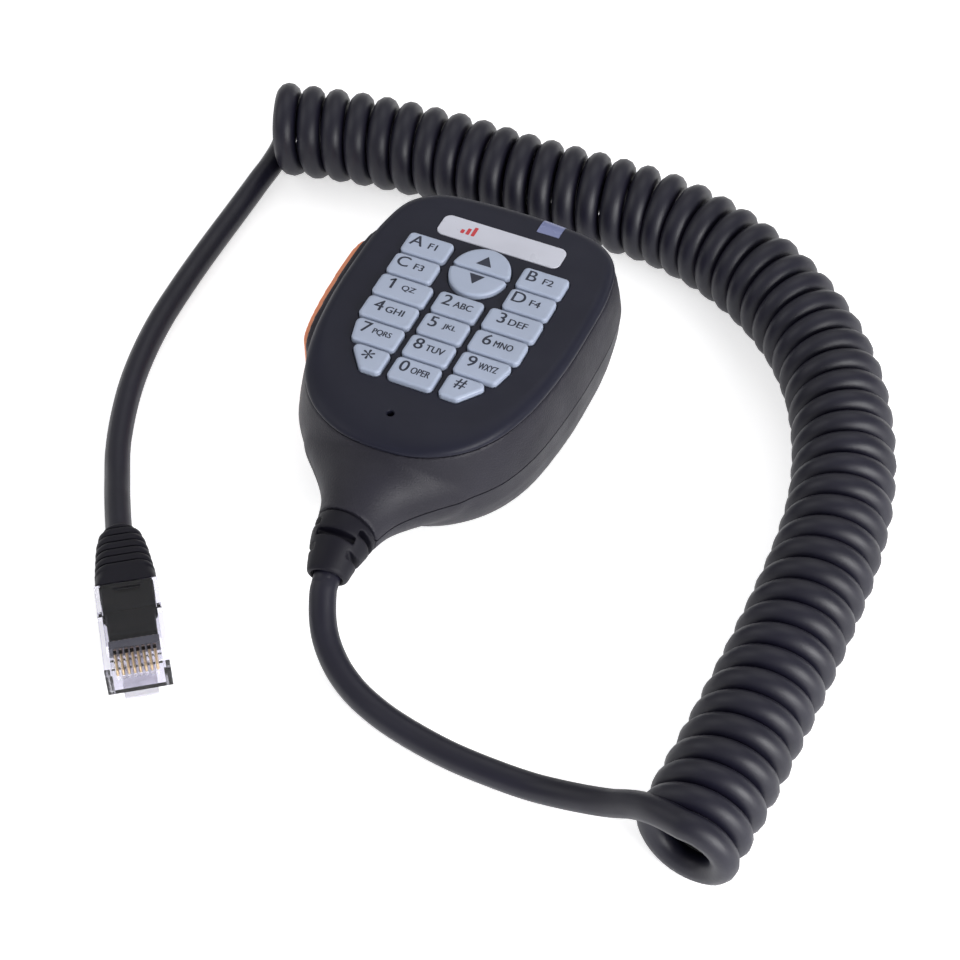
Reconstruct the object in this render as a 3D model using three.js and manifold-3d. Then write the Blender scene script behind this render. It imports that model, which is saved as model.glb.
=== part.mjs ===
// Hand microphone for a mobile radio: a keypad microphone lying on its back, with a push-to-talk bar
// on its left side, a curly cord and an eight-way modular plug.
//
// Millimetres, +Z up. The microphone's top end points to +Y and its key face looks up. The back rests
// on z = 0, and the origin is under the middle of the microphone's own box, without its cord.
import * as THREE from "three";
import { mergeVertices } from "three/addons/utils/BufferGeometryUtils.js";
import Module from "manifold-3d";

const wasm = await Module();
wasm.setup();

// ---------------------------------------------------------------- driving dimensions
// Heights above the surface that the microphone lies on.
const KEY_TOP = 28;
const PANEL_TOP = 27;
const PANEL_FOOT = 24.65;
const SHELL_TOP = 24.35;
const SPLIT = 14;
const SEAM = 0.3;
const WALL = 2;
const GAP = 0.3;

// The neck and the cord that leaves it.
const NECK_END = -48.8;
const RELIEF_TIP = -60.8;
const RELIEF_DROP = 2;
const RELIEF_DRIFT = 1.2;
const CORD_DIAMETER = 5.1;
const COIL_DIAMETER = 20.1;
const COIL_HEIGHT = COIL_DIAMETER / 2 + 0.05;

// Keypad: one row pitch for every column.
const ROW_PITCH = 6.45;
const KEY_HEIGHT = 5.9;
const KEY_FOOT = 23;
const KEY_TRAVEL_ROOM = 0.15;

// Push-to-talk bar on the left wall.
const PTT_REACH = 29.7;
const PTT_PIVOT = [-25.2, 15.6];
const PTT_LOW = 8.2;
const PTT_HIGH = 19.8;
const PIN_RADIUS = 0.8;
const PIN_GRIP = 1.3;
const PLUNGER_Y = 0.4;
const PLUNGER_Z = 16.6;

// Hang-up stud on the back.
const STUD_Y = 4;
const RECESS_DEPTH = 5.2;
const RECESS_FLOOR_BOSS = 13;
const STUD_SCREW_RADIUS = 1.4;

// Boards inside.
const BOARD_FOOT = 19.4;
const BOARD_TOP = 21;

// Modular plug, along its own axis from the cord's entry to the nose.
const PLUG_ENTRY = [-42.9, -60.5, 4.6];
const PLUG_HEADING = THREE.MathUtils.degToRad(-143.8);
const PLUG_PITCH = THREE.MathUtils.degToRad(6);
const BOOT_LENGTH = 15.9;
const HOUSING_LENGTH = 21.5;
const HOUSING_WIDTH = 11.7;
const HOUSING_HEIGHT = 6.6;
const CONTACT_PITCH = 1.02;

// ---------------------------------------------------------------- outlines of the casing
// Right halves, from the middle of the neck end, round the right side, to the middle of the top end.
// Every outline has the same number of points, so that one can be turned smoothly into the next.
const HALF_FACE = [
  [0, -27.6], [7.5, -27], [14, -24.4], [18.6, -19.4], [21.2, -12.5], [22.6, -3],
  [22.9, 7], [22.3, 17], [20.2, 24], [15, 27.5], [7, 28.6], [0, 28.8],
];
const HALF_EDGE = [
  [0, -36.9], [8, -35.8], [15.2, -31.7], [20, -25.5], [23, -17], [24.7, -5],
  [25.05, 6], [24.6, 18], [22.4, 26], [17.5, 30.2], [8, 31.8], [0, 32.1],
];
const HALF_SPLIT = [
  [0, -38.9], [8, -37.7], [15, -34.6], [21, -27.6], [24.4, -18.5], [26.2, -4.5],
  [26.6, 7], [26.1, 18.5], [23.9, 27.2], [18.6, 31.7], [8.5, 33.6], [0, 33.9],
];
const HALF_LOWER = [
  [0, -35.2], [7.2, -34.4], [13.4, -31.1], [18.8, -25.4], [22.6, -17.3], [24.7, -4.2],
  [25.1, 7], [24.6, 18], [22.4, 25.8], [17.2, 29.7], [8, 31.6], [0, 31.9],
];
const HALF_BACK = [
  [0, -29.5], [6, -28.8], [11.2, -26], [15.6, -21], [18.6, -14.5], [20.2, -4],
  [20.5, 6.5], [20, 16], [18, 22.3], [13.6, 25.4], [6.5, 26.8], [0, 27],
];
const OUTLINE_STEPS = 44;

const HALF_WIDTH = 26.6;
const TOP_END = 33.9;
const MIC_X = (PTT_REACH - HALF_WIDTH) / 2;
const TIP_RADIUS = 3;
const TIP_LEAN = (2 * Math.hypot(RELIEF_DROP, RELIEF_DRIFT)) / (NECK_END - RELIEF_TIP);
const MIC_Y = (TIP_RADIUS * TIP_LEAN - RELIEF_TIP - TOP_END) / 2;

// ---------------------------------------------------------------- solids
function toSolid(geometry) {
  const bare = geometry.index ? geometry.toNonIndexed() : geometry.clone();
  bare.deleteAttribute("normal");
  bare.deleteAttribute("uv");
  const merged = mergeVertices(bare, 1e-4);
  return new wasm.Manifold(new wasm.Mesh({
    numProp: 3,
    vertProperties: new Float32Array(merged.attributes.position.array),
    triVerts: new Uint32Array(merged.index.array),
  }));
}

function toGeometry(solid) {
  const mesh = solid.getMesh();
  const geometry = new THREE.BufferGeometry();
  geometry.setAttribute("position", new THREE.BufferAttribute(new Float32Array(mesh.vertProperties), 3));
  geometry.setIndex(new THREE.BufferAttribute(new Uint32Array(mesh.triVerts), 1));
  geometry.computeVertexNormals();
  return geometry;
}

const join = (...solids) => solids.reduce((whole, piece) => whole.add(piece));
const cut = (solid, ...tools) => tools.reduce((rest, tool) => rest.subtract(tool), solid);

function box(x0, x1, y0, y1, z0, z1) {
  const geometry = new THREE.BoxGeometry(x1 - x0, y1 - y0, z1 - z0);
  geometry.translate((x0 + x1) / 2, (y0 + y1) / 2, (z0 + z1) / 2);
  return toSolid(geometry);
}

// A cylinder along z, or a cone when the radius at its top differs.
function post(x, y, z0, z1, radius, topRadius = radius, sides = 20) {
  const geometry = new THREE.CylinderGeometry(topRadius, radius, z1 - z0, sides);
  geometry.rotateX(Math.PI / 2);
  geometry.translate(x, y, (z0 + z1) / 2);
  return toSolid(geometry);
}

// A straight rod along y, or along x.
function rodY(x, z, y0, y1, radius, sides = 20) {
  const geometry = new THREE.CylinderGeometry(radius, radius, y1 - y0, sides);
  geometry.translate(x, (y0 + y1) / 2, z);
  return toSolid(geometry);
}

function rodX(y, z, x0, x1, radius, sides = 16) {
  const geometry = new THREE.CylinderGeometry(radius, radius, x1 - x0, sides);
  geometry.rotateZ(Math.PI / 2);
  geometry.translate((x0 + x1) / 2, y, z);
  return toSolid(geometry);
}

// A flat outline, given as 2-D points, pushed up from z0 to z1.
function slab(points, z0, z1) {
  const shape = new THREE.Shape(points.map(([x, y]) => new THREE.Vector2(x, y)));
  const geometry = new THREE.ExtrudeGeometry(shape, { depth: z1 - z0, bevelEnabled: false });
  geometry.translate(0, 0, z0);
  return toSolid(geometry);
}

// A skin through rings that all have the same number of points, closed by a fan at each end.
function loft(rings) {
  const count = rings[0].length;
  const positions = rings.flat().flatMap((point) => point.toArray());
  const middles = [rings[0], rings[rings.length - 1]].map((ring) => {
    const middle = new THREE.Vector3();
    ring.forEach((point) => middle.add(point));
    return middle.divideScalar(count);
  });
  middles.forEach((middle) => positions.push(...middle.toArray()));
  const first = rings.length * count;
  const index = [];
  for (let i = 0; i < count; i += 1) {
    const next = (i + 1) % count;
    for (let r = 0; r < rings.length - 1; r += 1) {
      const low = r * count;
      const high = low + count;
      index.push(low + i, low + next, high + next, low + i, high + next, high + i);
    }
    const top = first - count;
    index.push(first, next, i, first + 1, top + i, top + next);
  }
  const geometry = new THREE.BufferGeometry();
  geometry.setAttribute("position", new THREE.Float32BufferAttribute(positions, 3));
  geometry.setIndex(index);
  return toSolid(geometry);
}

// ---------------------------------------------------------------- outline helpers
// The whole smooth outline that a right half stands for, counter-clockwise.
function fullOutline(half) {
  const left = half.slice(1, -1).reverse().map(([x, y]) => [-x, y]);
  const points = [...half, ...left].map(([x, y]) => new THREE.Vector3(x, y, 0));
  const curve = new THREE.CatmullRomCurve3(points, true, "centripetal");
  return curve.getPoints(OUTLINE_STEPS).slice(0, OUTLINE_STEPS).map((point) => [point.x, point.y]);
}

// The same outline moved inwards, square to its own edge.
function inset(points, distance) {
  const count = points.length;
  return points.map(([x, y], i) => {
    const [ax, ay] = points[(i + count - 1) % count];
    const [bx, by] = points[(i + 1) % count];
    const length = Math.hypot(bx - ax, by - ay);
    return [x - (distance * (by - ay)) / length, y + (distance * (bx - ax)) / length];
  });
}

const mix = (a, b, t) => a.map(([x, y], i) => [x + (b[i][0] - x) * t, y + (b[i][1] - y) * t]);
const ringAt = (points, z) => points.map(([x, y]) => new THREE.Vector3(x, y, z));

const FACE = fullOutline(HALF_FACE);
const EDGE = fullOutline(HALF_EDGE);
const SPLIT_LINE = fullOutline(HALF_SPLIT);
const LOWER = fullOutline(HALF_LOWER);
const BACK = fullOutline(HALF_BACK);

// A rounded rectangle given by its centre, size and corner radius.
function roundedRect(cx, cy, width, height, radius, steps = 3) {
  const points = [];
  const corners = [[1, -1, -90], [1, 1, 0], [-1, 1, 90], [-1, -1, 180]];
  corners.forEach(([sx, sy, start]) => {
    for (let i = 0; i <= steps; i += 1) {
      const angle = THREE.MathUtils.degToRad(start + (90 * i) / steps);
      points.push([
        cx + sx * (width / 2 - radius) + radius * Math.cos(angle),
        cy + sy * (height / 2 - radius) + radius * Math.sin(angle),
      ]);
    }
  });
  return points;
}

// ---------------------------------------------------------------- casing
// Each list gives a height and how far the outline has turned from one line to the next.
function upperCasing(offset) {
  const levels = [[SPLIT + SEAM / 2, 0], [18, 0.28], [21.5, 0.62], [SHELL_TOP, 1]];
  return loft(levels.map(([z, t]) => ringAt(inset(mix(SPLIT_LINE, EDGE, t), offset), z)));
}

function lowerCasing() {
  const levels = [
    [0, BACK], [0.4, mix(LOWER, BACK, 0.65)], [1.4, mix(LOWER, BACK, 0.3)], [3, LOWER],
    [6, mix(SPLIT_LINE, LOWER, 0.5)], [9, mix(SPLIT_LINE, LOWER, 0.2)], [SPLIT - SEAM / 2, SPLIT_LINE],
  ];
  return loft(levels.map(([z, outline]) => ringAt(outline, z)));
}

function lowerCavity() {
  const levels = [
    [WALL, BACK], [WALL + 2, LOWER], [8, mix(SPLIT_LINE, LOWER, 0.35)], [SPLIT + SEAM, SPLIT_LINE],
  ];
  return loft(levels.map(([z, outline]) => ringAt(inset(outline, WALL), z)));
}

// The neck is a horn along -Y. Each section is an upper and a lower half ellipse about the split line.
const NECK_SECTIONS = [
  { y: NECK_END, wide: 6.1, up: 6.2, down: 6 },
  { y: -47, wide: 6.6, up: 6.5, down: 6.2 },
  { y: -44.5, wide: 7.6, up: 7.3, down: 6.8 },
  { y: -42, wide: 9.2, up: 8.3, down: 7.7 },
  { y: -39.5, wide: 11.2, up: 9.1, down: 8.7 },
  { y: -36.5, wide: 14, up: 9.7, down: 9.8 },
  { y: -33, wide: 17.2, up: 9.8, down: 10.8 },
  { y: -28, wide: 18.5, up: 9, down: 10 },
];
const NECK_SIDES = 24;

function neck() {
  const rings = NECK_SECTIONS.map(({ y, wide, up, down }) => {
    const ring = [];
    for (let i = 0; i < NECK_SIDES; i += 1) {
      const angle = (2 * Math.PI * i) / NECK_SIDES;
      const rise = Math.sin(angle) > 0 ? up : down;
      ring.push(new THREE.Vector3(-wide * Math.cos(angle), y, SPLIT + rise * Math.sin(angle)));
    }
    return ring;
  });
  return loft(rings);
}

// Where the strain relief and the cord pass through the neck.
const RELIEF_STEM = 4;
const RELIEF_FLANGE = 5;
const FLANGE_BACK = -43.6;
const FLANGE_FRONT = -45.2;
function neckBore() {
  return join(
    rodY(0, SPLIT, NECK_END - 1, FLANGE_FRONT, RELIEF_STEM + GAP, 24),
    rodY(0, SPLIT, FLANGE_FRONT - GAP, FLANGE_BACK + GAP, RELIEF_FLANGE + GAP, 24),
    rodY(0, SPLIT, FLANGE_BACK, -30, RELIEF_STEM, 24),
  );
}

// The raised pad round the push-to-talk bar, and the slot that the bar moves in.
const PTT_PAD = [
  [-22, 23.4], [-25.2, 21.2], [-26.9, 18.6], [-27.7, 14.5], [-27.75, 6], [-27.3, -3],
  [-26.4, -11], [-24.4, -16.8], [-22, -18.5],
];
const PTT_SLOT = [
  [-32, 18.4], [-32, -15.7], [-24.6, -15.7], [-22.5, -14.9], [-22.5, 18.4],
];

const CASE_SCREWS = [[-19, 19.8], [19, 19.8], [-13.3, -25], [13.3, -25]];
const BOSS_RADIUS = 2.4;
const PAD_RADIUS = 3.2;
const HEAD_SEAT = { radius: 2.3, depth: 6 };
const SCREW_RADIUS = 1;
const SCREW_WAY = SCREW_RADIUS + GAP;
const BOARD_SCREWS = [[-8.5, 21.4], [8.5, 21.4]];
const BOARD_RESTS = [[-9.5, -21.5], [9.5, -21.5]];

// Holes for screws, from z0 to z1.
const screwWays = (spots, z0, z1) => spots.map(([x, y]) => post(x, y, z0, z1, SCREW_WAY, SCREW_WAY, 12));
const pinWay = (z0, z1) => post(...PTT_PIVOT, z0, z1, PIN_RADIUS + GAP, PIN_RADIUS + GAP, 12);

// The upper half: walls, a rim that carries the face panel, and a boss down from the rim at each screw.
function frontShell() {
  const walls = join(upperCasing(0), slab(PTT_PAD, SPLIT, 22.4), neck());
  const body = walls.intersect(box(-40, 40, -60, 40, SPLIT + SEAM / 2, 40));
  const roof = SHELL_TOP - 1.4;
  const cavity = upperCasing(WALL).intersect(box(-40, 40, -40, 40, SPLIT, roof - 0.1));
  const mouthReach = box(-40, 40, -36, 40, 0, 20);
  const mouth = slab(inset(SPLIT_LINE, WALL), SPLIT - 1, SPLIT + SEAM).intersect(mouthReach);
  const window = slab(inset(EDGE, 4.6), 20, 30);
  const bosses = CASE_SCREWS.map(([x, y]) => post(x, y, SPLIT + SEAM, roof, BOSS_RADIUS));
  const hollow = join(cut(body, cavity, mouth, window, neckBore()), ...bosses);
  const barSlot = slab(PTT_SLOT, SPLIT - 1, PTT_HIGH + GAP);
  return cut(hollow, barSlot, pinWay(19, PTT_HIGH + PIN_GRIP + GAP), ...screwWays(CASE_SCREWS, 10, 20.5));
}

// The lower half: a flat back with a recess for the hang-up stud, pads for the screws and stands for
// the board.
function rearShell() {
  const body = join(lowerCasing(), slab(PTT_PAD, 6.5, SPLIT), neck());
  const trimmed = body.intersect(box(-40, 40, -60, 40, 0, SPLIT - SEAM / 2));
  const recess = roundedRect(0, -3, 22, 34, 9, 5);
  const cavity = cut(lowerCavity(), slab(inset(recess, -WALL), -1, RECESS_DEPTH + WALL));
  const floor = WALL - 0.5;
  const pads = CASE_SCREWS.map(([x, y]) => post(x, y, floor, SPLIT - SEAM, PAD_RADIUS));
  const insidePads = pads.map((pad) => pad.intersect(lowerCasing()));
  const stands = [...BOARD_SCREWS, ...BOARD_RESTS].map(([x, y]) => post(x, y, floor, BOARD_FOOT - GAP, 2.2));
  const studBoss = post(0, STUD_Y, RECESS_DEPTH, RECESS_FLOOR_BOSS, 3.6);
  const open = cut(trimmed, cavity, neckBore(), slab(recess, -1, RECESS_DEPTH));
  const headSeats = CASE_SCREWS.map(([x, y]) => post(x, y, -1, HEAD_SEAT.depth, HEAD_SEAT.radius));
  return cut(
    join(open, ...insidePads, ...stands, studBoss),
    ...headSeats,
    ...screwWays(CASE_SCREWS, -1, 20),
    ...screwWays(BOARD_SCREWS, 11, 25),
    post(0, STUD_Y, -1, RECESS_FLOOR_BOSS - 1.5, STUD_SCREW_RADIUS + GAP),
    slab(PTT_SLOT, PTT_LOW - GAP, 20),
    pinWay(PTT_LOW - PIN_GRIP - GAP, PTT_LOW + 1),
  );
}

// ---------------------------------------------------------------- face
const LABEL = { x: 0, y: 21.35, width: 26.6, height: 5.9, radius: 1.6 };
const LAMP = { x0: 5.2, x1: 10, y0: 26.9, y1: 34 };
const MIC_HOLE_Y = -29.5;
const SOUND_HOLE_RADIUS = 0.8;

function labelOutline(grow) {
  return roundedRect(LABEL.x, LABEL.y, LABEL.width + 2 * grow, LABEL.height + 2 * grow, LABEL.radius + grow);
}

// The face panel's skin: flat on top, rolling over to the casing's edge.
function panelSkin() {
  const levels = [[0, 0], [0.38, 0.1], [0.68, 0.3], [0.88, 0.58], [1, 1]];
  const rise = PANEL_TOP - PANEL_FOOT;
  return loft(levels.map(([h, t]) => ringAt(mix(EDGE, FACE, t), PANEL_FOOT + rise * h)));
}

function facePanel() {
  const pocket = slab(inset(FACE, 1.2), PANEL_FOOT - 1, PANEL_TOP - 1.8);
  const labelSeat = slab(labelOutline(0.15), PANEL_TOP - 0.6, PANEL_TOP + 1);
  const lampSeat = box(LAMP.x0 - 0.1, LAMP.x1 + 0.1, LAMP.y0 - 0.1, LAMP.y1, PANEL_FOOT - 1, PANEL_TOP + 1);
  const soundHole = post(0, MIC_HOLE_Y, 20, 30, SOUND_HOLE_RADIUS, SOUND_HOLE_RADIUS, 12);
  const holes = KEYS.map((key) => slab(keyOutline(key, KEY_TRAVEL_ROOM), 20, 30));
  return cut(panelSkin(), pocket, labelSeat, lampSeat, soundHole, ...holes);
}

const labelPlate = () => slab(labelOutline(0), PANEL_TOP - 0.5, PANEL_TOP + 0.15);

function ledWindow() {
  return panelSkin().intersect(box(LAMP.x0, LAMP.x1, LAMP.y0, LAMP.y1, PANEL_FOOT - 1, PANEL_TOP + 1));
}

// ---------------------------------------------------------------- keys
// Columns reach from an inner to an outer x. Rows count down from the row of digits 1, 2 and 3.
const INNER = 6.05;
const MIDDLE = 4.7;
const MIDDLE_LIFT = 0.15;
const sideKey = (name, side, row, outer, taper = 0) => ({ name, side, row, outer, taper });
const KEYS = [
  sideKey("key_a", -1, -2, 17.2), sideKey("key_b", 1, -2, 17.2),
  sideKey("key_c", -1, -1, 17.2), sideKey("key_d", 1, -1, 17.2),
  sideKey("key_1", -1, 0, 17.2), { name: "key_2", row: 0 }, sideKey("key_3", 1, 0, 17.2),
  sideKey("key_4", -1, 1, 16.85), { name: "key_5", row: 1 }, sideKey("key_6", 1, 1, 16.85),
  sideKey("key_7", -1, 2, 16.15, 1.1), { name: "key_8", row: 2 }, sideKey("key_9", 1, 2, 16.15, 1.1),
  sideKey("key_star", -1, 3, 13.5, 3.4), { name: "key_0", row: 3 }, sideKey("key_hash", 1, 3, 13.5, 3.4),
  { name: "key_up", disc: 1 }, { name: "key_down", disc: -1 },
];
const INNER_UPPER = 7.6;
const DISC = { y: 10.85, rx: 6.05, ry: 6.75, split: 0.3 };
const CORNER = 1.05;
const FIRST_ROW_Y = 0.15;

// Keys above the digits are narrower on their inner side, to clear the round pair of arrows.
const innerEdge = (key) => (key.row < 0 ? INNER_UPPER : INNER);

function keyOutline(key, grow) {
  if (key.disc) return discOutline(key.disc, grow);
  const y = FIRST_ROW_Y - key.row * ROW_PITCH + (key.side ? 0 : MIDDLE_LIFT);
  const height = KEY_HEIGHT + 2 * grow;
  if (!key.side) return roundedRect(0, y, 2 * (MIDDLE + grow), height, CORNER + grow);
  const centre = (key.side * (key.outer + innerEdge(key))) / 2;
  const rect = roundedRect(centre, y, key.outer - innerEdge(key) + 2 * grow, height, CORNER + grow);
  return rect.map(([px, py]) => [shearLowerCorner(key, px, py - y, height, centre), py]);
}

// The outer lower corner of the bottom rows is drawn in, following the face's outline.
function shearLowerCorner(key, px, depth, height, centre) {
  const outward = key.side * (px - centre);
  if (!key.taper || outward <= 0 || depth >= height / 4) return px;
  const share = (height / 4 - depth) / (height * 0.75);
  return px - key.side * key.taper * share;
}

// One half of the round arrow pair: an arc closed by a straight edge with softened ends.
function discOutline(side, grow) {
  const rx = DISC.rx + grow;
  const ry = DISC.ry + grow;
  const edge = DISC.split - grow;
  const start = Math.asin((edge + 0.5) / ry);
  const points = [];
  const steps = 14;
  for (let i = 0; i <= steps; i += 1) {
    const angle = start + ((Math.PI - 2 * start) * i) / steps;
    points.push([rx * Math.cos(angle), ry * Math.sin(angle)]);
  }
  points.push([-rx + 0.7, edge], [rx - 0.7, edge]);
  const placed = points.map(([x, y]) => [x, DISC.y + side * y]);
  return side > 0 ? placed : placed.reverse();
}

// A key cap: straight up through the panel, then a small bevel round its top.
function keyCap(key) {
  const outline = keyOutline(key, 0);
  const levels = [[KEY_FOOT, 0], [KEY_TOP - 0.45, 0], [KEY_TOP - 0.12, 0.14], [KEY_TOP, 0.42]];
  return loft(levels.map(([z, pull]) => ringAt(inset(outline, pull), z)));
}

// The rubber mat under the caps: a sheet with a low dome below each one.
function keypadMat() {
  const reach = box(-18.6, 18.6, -23, 18.6, 0, 40);
  const sheet = slab(inset(EDGE, 7), BOARD_TOP + GAP, BOARD_TOP + 0.9).intersect(reach);
  const domes = KEYS.map((key) => {
    const outline = keyOutline(key, 0);
    const x = outline.reduce((sum, point) => sum + point[0], 0) / outline.length;
    const y = outline.reduce((sum, point) => sum + point[1], 0) / outline.length;
    return post(x, y, BOARD_TOP + 0.6, BOARD_TOP + 1.15, 1.9, 1.4, 8);
  });
  const clear = CASE_SCREWS.map(([x, y]) => post(x, y, 0, 40, BOSS_RADIUS + GAP));
  return cut(join(sheet, ...domes), ...clear);
}

// ---------------------------------------------------------------- inside
const CAPSULE = { radius: 4.7, foot: 17.6, top: 22 };
const RUBBER = 1;

function mainPcb() {
  const outline = slab(inset(EDGE, 5), BOARD_FOOT, BOARD_TOP).intersect(box(-17.3, 17.3, -30, 28, 0, 40));
  const bosses = CASE_SCREWS.map(([x, y]) => post(x, y, 0, 40, BOSS_RADIUS + 0.6));
  const capsuleWay = underSoundHole(0, 40, CAPSULE.radius + RUBBER + 0.5);
  return cut(outline, ...bosses, capsuleWay, ...screwWays(BOARD_SCREWS, 0, 40));
}

// A round post in line with the sound hole.
const underSoundHole = (z0, z1, radius) => post(0, MIC_HOLE_Y, z0, z1, radius, radius, 24);

function micCapsule() {
  const body = underSoundHole(CAPSULE.foot, CAPSULE.top, CAPSULE.radius);
  return cut(body, underSoundHole(CAPSULE.top - 0.5, CAPSULE.top + 1, CAPSULE.radius - 1.3));
}

function micGrommet() {
  const outside = underSoundHole(CAPSULE.foot - 1, CAPSULE.top + 0.6, CAPSULE.radius + RUBBER);
  const seat = underSoundHole(CAPSULE.foot - GAP, CAPSULE.top + GAP, CAPSULE.radius + GAP);
  return cut(outside, seat, underSoundHole(0, 40, 1.4));
}

// A surface lamp: a base on the board with a lens on it.
function statusLed() {
  const base = box(6.2, 9, 24.6, 26.3, BOARD_TOP + 0.1, BOARD_TOP + 0.7);
  return join(base, box(6.7, 8.5, 24.9, 26, BOARD_TOP + 0.5, BOARD_TOP + 1.3));
}

function cordConnector() {
  const shellBox = box(-9, 9, -16.5, -11, BOARD_FOOT - 4.9, BOARD_FOOT - 0.1);
  return cut(shellBox, box(-8, 8, -18, -13, BOARD_FOOT - 4, BOARD_FOOT - 1));
}

// A crossed slot, as two thin blocks.
const crossSlot = (x, y, reach, z0, z1) => join(
  box(x - reach, x + reach, y - 0.25, y + 0.25, z0, z1),
  box(x - 0.25, x + 0.25, y - reach, y + reach, z0, z1),
);

const SCREW_TIP_RADIUS = 0.6;

function caseScrew([x, y]) {
  const head = cut(post(x, y, 4.2, 5.7, 2, 2, 16), crossSlot(x, y, 1.3, 3.2, 4.9));
  return join(head, post(x, y, 5.6, 20, SCREW_RADIUS, SCREW_TIP_RADIUS, 12));
}

// The board screws enter from above.
function boardScrew([x, y]) {
  const head = post(x, y, BOARD_TOP + 0.1, BOARD_TOP + 1.2, 1.9, 1.7, 16);
  const slotted = cut(head, crossSlot(x, y, 1.2, BOARD_TOP + 0.6, BOARD_TOP + 2));
  return join(slotted, post(x, y, 12, BOARD_TOP + 0.2, SCREW_TIP_RADIUS, SCREW_RADIUS, 12));
}

// A saddle with a notch in its top, which holds the cord down in the neck.
function cableClamp() {
  const cordWay = rodY(0, SPLIT, -40, -20, CORD_DIAMETER / 2 + 0.2);
  const saddle = cut(box(-6, 6, -34.6, -31, 9.2, 16.4), cordWay);
  return cut(saddle, box(-1.6, 1.6, -36, -30, 15, 20));
}

// ---------------------------------------------------------------- push-to-talk bar
const PTT_OUTER = [
  [-27.3, 18.05], [-28.8, 17.3], [-29.55, 15.2], [-29.7, 9], [-29.5, 3], [-29.05, -3], [-28.3, -8.6],
  [-27.3, -12.4], [-25.7, -15.05],
];
const PTT_INNER = [
  [-24.9, -13.6], [-25.6, -9], [-26.2, -3], [-26.2, -1], [-24, -0.9], [-20.2, -0.8], [-20.2, 1.6],
  [-24, 1.7], [-26.2, 1.8], [-26.3, 9], [-26, 13],
];

// The bar is hollowed behind its face. A knuckle takes the hinge pin, and a short arm, cut down to the
// plunger's height, reaches the switch.
function pttBar() {
  const bar = slab([...PTT_OUTER, ...PTT_INNER, [-25.2, 17.2]], PTT_LOW, PTT_HIGH);
  const knuckle = post(...PTT_PIVOT, PTT_LOW, PTT_HIGH, 1.9, 1.9, 16);
  const underArm = box(-25, -20, -2, 3, PTT_LOW - 1, PLUNGER_Z - 1.6);
  const pinHole = post(...PTT_PIVOT, 0, 40, PIN_RADIUS + 0.06, PIN_RADIUS + 0.06, 16);
  return cut(join(bar, knuckle), underArm, pinHole);
}

function pttHingePin() {
  return post(...PTT_PIVOT, PTT_LOW - PIN_GRIP, PTT_HIGH + PIN_GRIP, PIN_RADIUS, PIN_RADIUS, 16);
}

function pttSwitch() {
  const housing = box(-17.2, -12.6, PLUNGER_Y - 3, PLUNGER_Y + 3, PLUNGER_Z - 2.3, BOARD_FOOT - 0.1);
  return cut(housing, rodX(PLUNGER_Y, PLUNGER_Z, -18, -14.2, 1.3));
}

const pttPlunger = () => rodX(PLUNGER_Y, PLUNGER_Z, -19.8, -15.6, 1.1);

// ---------------------------------------------------------------- hang-up stud
// Radius and height of the stud's section: a countersunk cap on a neck.
const STUD_SECTION = [
  [1.75, 4.9], [1.75, 2.4], [3.1, 0.2], [5.7, 0.2], [6.2, 0.5], [6.2, 1.2], [5.6, 1.7], [3.2, 2], [3.2, 4.9],
  [1.75, 4.9],
];

function hangerStud() {
  const geometry = new THREE.LatheGeometry(STUD_SECTION.map(([r, z]) => new THREE.Vector2(r, z)), 28);
  geometry.rotateX(Math.PI / 2);
  geometry.translate(0, STUD_Y, 0);
  return toSolid(geometry);
}

function hangerScrew() {
  const head = post(0, STUD_Y, 0.45, 2.1, 2.6, STUD_SCREW_RADIUS, 16);
  const slot = box(-2, 2, STUD_Y - 0.3, STUD_Y + 0.3, 0, 1);
  return join(cut(head, slot), post(0, STUD_Y, 2, 11, STUD_SCREW_RADIUS, 1, 12));
}

// ---------------------------------------------------------------- strain relief and cord
// Beyond the neck the relief sags with the cord, and leans a little to the right. A point given on
// the straight relief moves with its cross-section, which stays square to the bent centre line.
function sag(point) {
  const length = NECK_END - RELIEF_TIP;
  const reach = Math.max(0, (NECK_END - point.y) / length);
  const leanX = (-2 * RELIEF_DRIFT * reach) / length;
  const leanZ = (2 * RELIEF_DROP * reach) / length;
  return new THREE.Vector3(
    point.x + RELIEF_DRIFT * reach ** 2,
    point.y - point.x * leanX - (point.z - SPLIT) * leanZ,
    point.z - RELIEF_DROP * reach ** 2,
  );
}

function sagged(geometry) {
  const position = geometry.attributes.position;
  for (let i = 0; i < position.count; i += 1) {
    const bent = sag(new THREE.Vector3().fromBufferAttribute(position, i));
    position.setXYZ(i, bent.x, bent.y, bent.z);
  }
  return toSolid(geometry);
}

// A solid of revolution about the neck's axis, from pairs of y and radius.
function turned(pairs, sides) {
  const points = pairs.map(([y, radius]) => new THREE.Vector2(radius, y));
  const geometry = new THREE.LatheGeometry(points, sides);
  geometry.translate(0, 0, SPLIT);
  return geometry;
}

const CORD_WAY = CORD_DIAMETER / 2 + 0.2;
const RELIEF_OUTSIDE = [
  [RELIEF_TIP, TIP_RADIUS], [-60.3, 3.45], [-59, 3.9], [-57.2, 4.3], [-55.4, 4.75], [-53.4, 5.3],
  [-51.2, 5.75], [NECK_END - GAP, 5.95],
];

// A tapered sleeve outside the neck, a stem through the neck's end and a flange behind it.
function strainRelief() {
  const stem = [[NECK_END - GAP, RELIEF_STEM], [FLANGE_FRONT - 0.1, RELIEF_STEM]];
  const flange = [[FLANGE_FRONT - 0.1, RELIEF_FLANGE], [FLANGE_BACK, RELIEF_FLANGE]];
  const bore = [FLANGE_BACK, -46, -49, -52, -55, -58, RELIEF_TIP].map((y) => [y, CORD_WAY]);
  const body = sagged(turned([...RELIEF_OUTSIDE, ...stem, ...flange, ...bore, RELIEF_OUTSIDE[0]], 20));
  return cut(body, ...reliefSlots());
}

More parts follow.
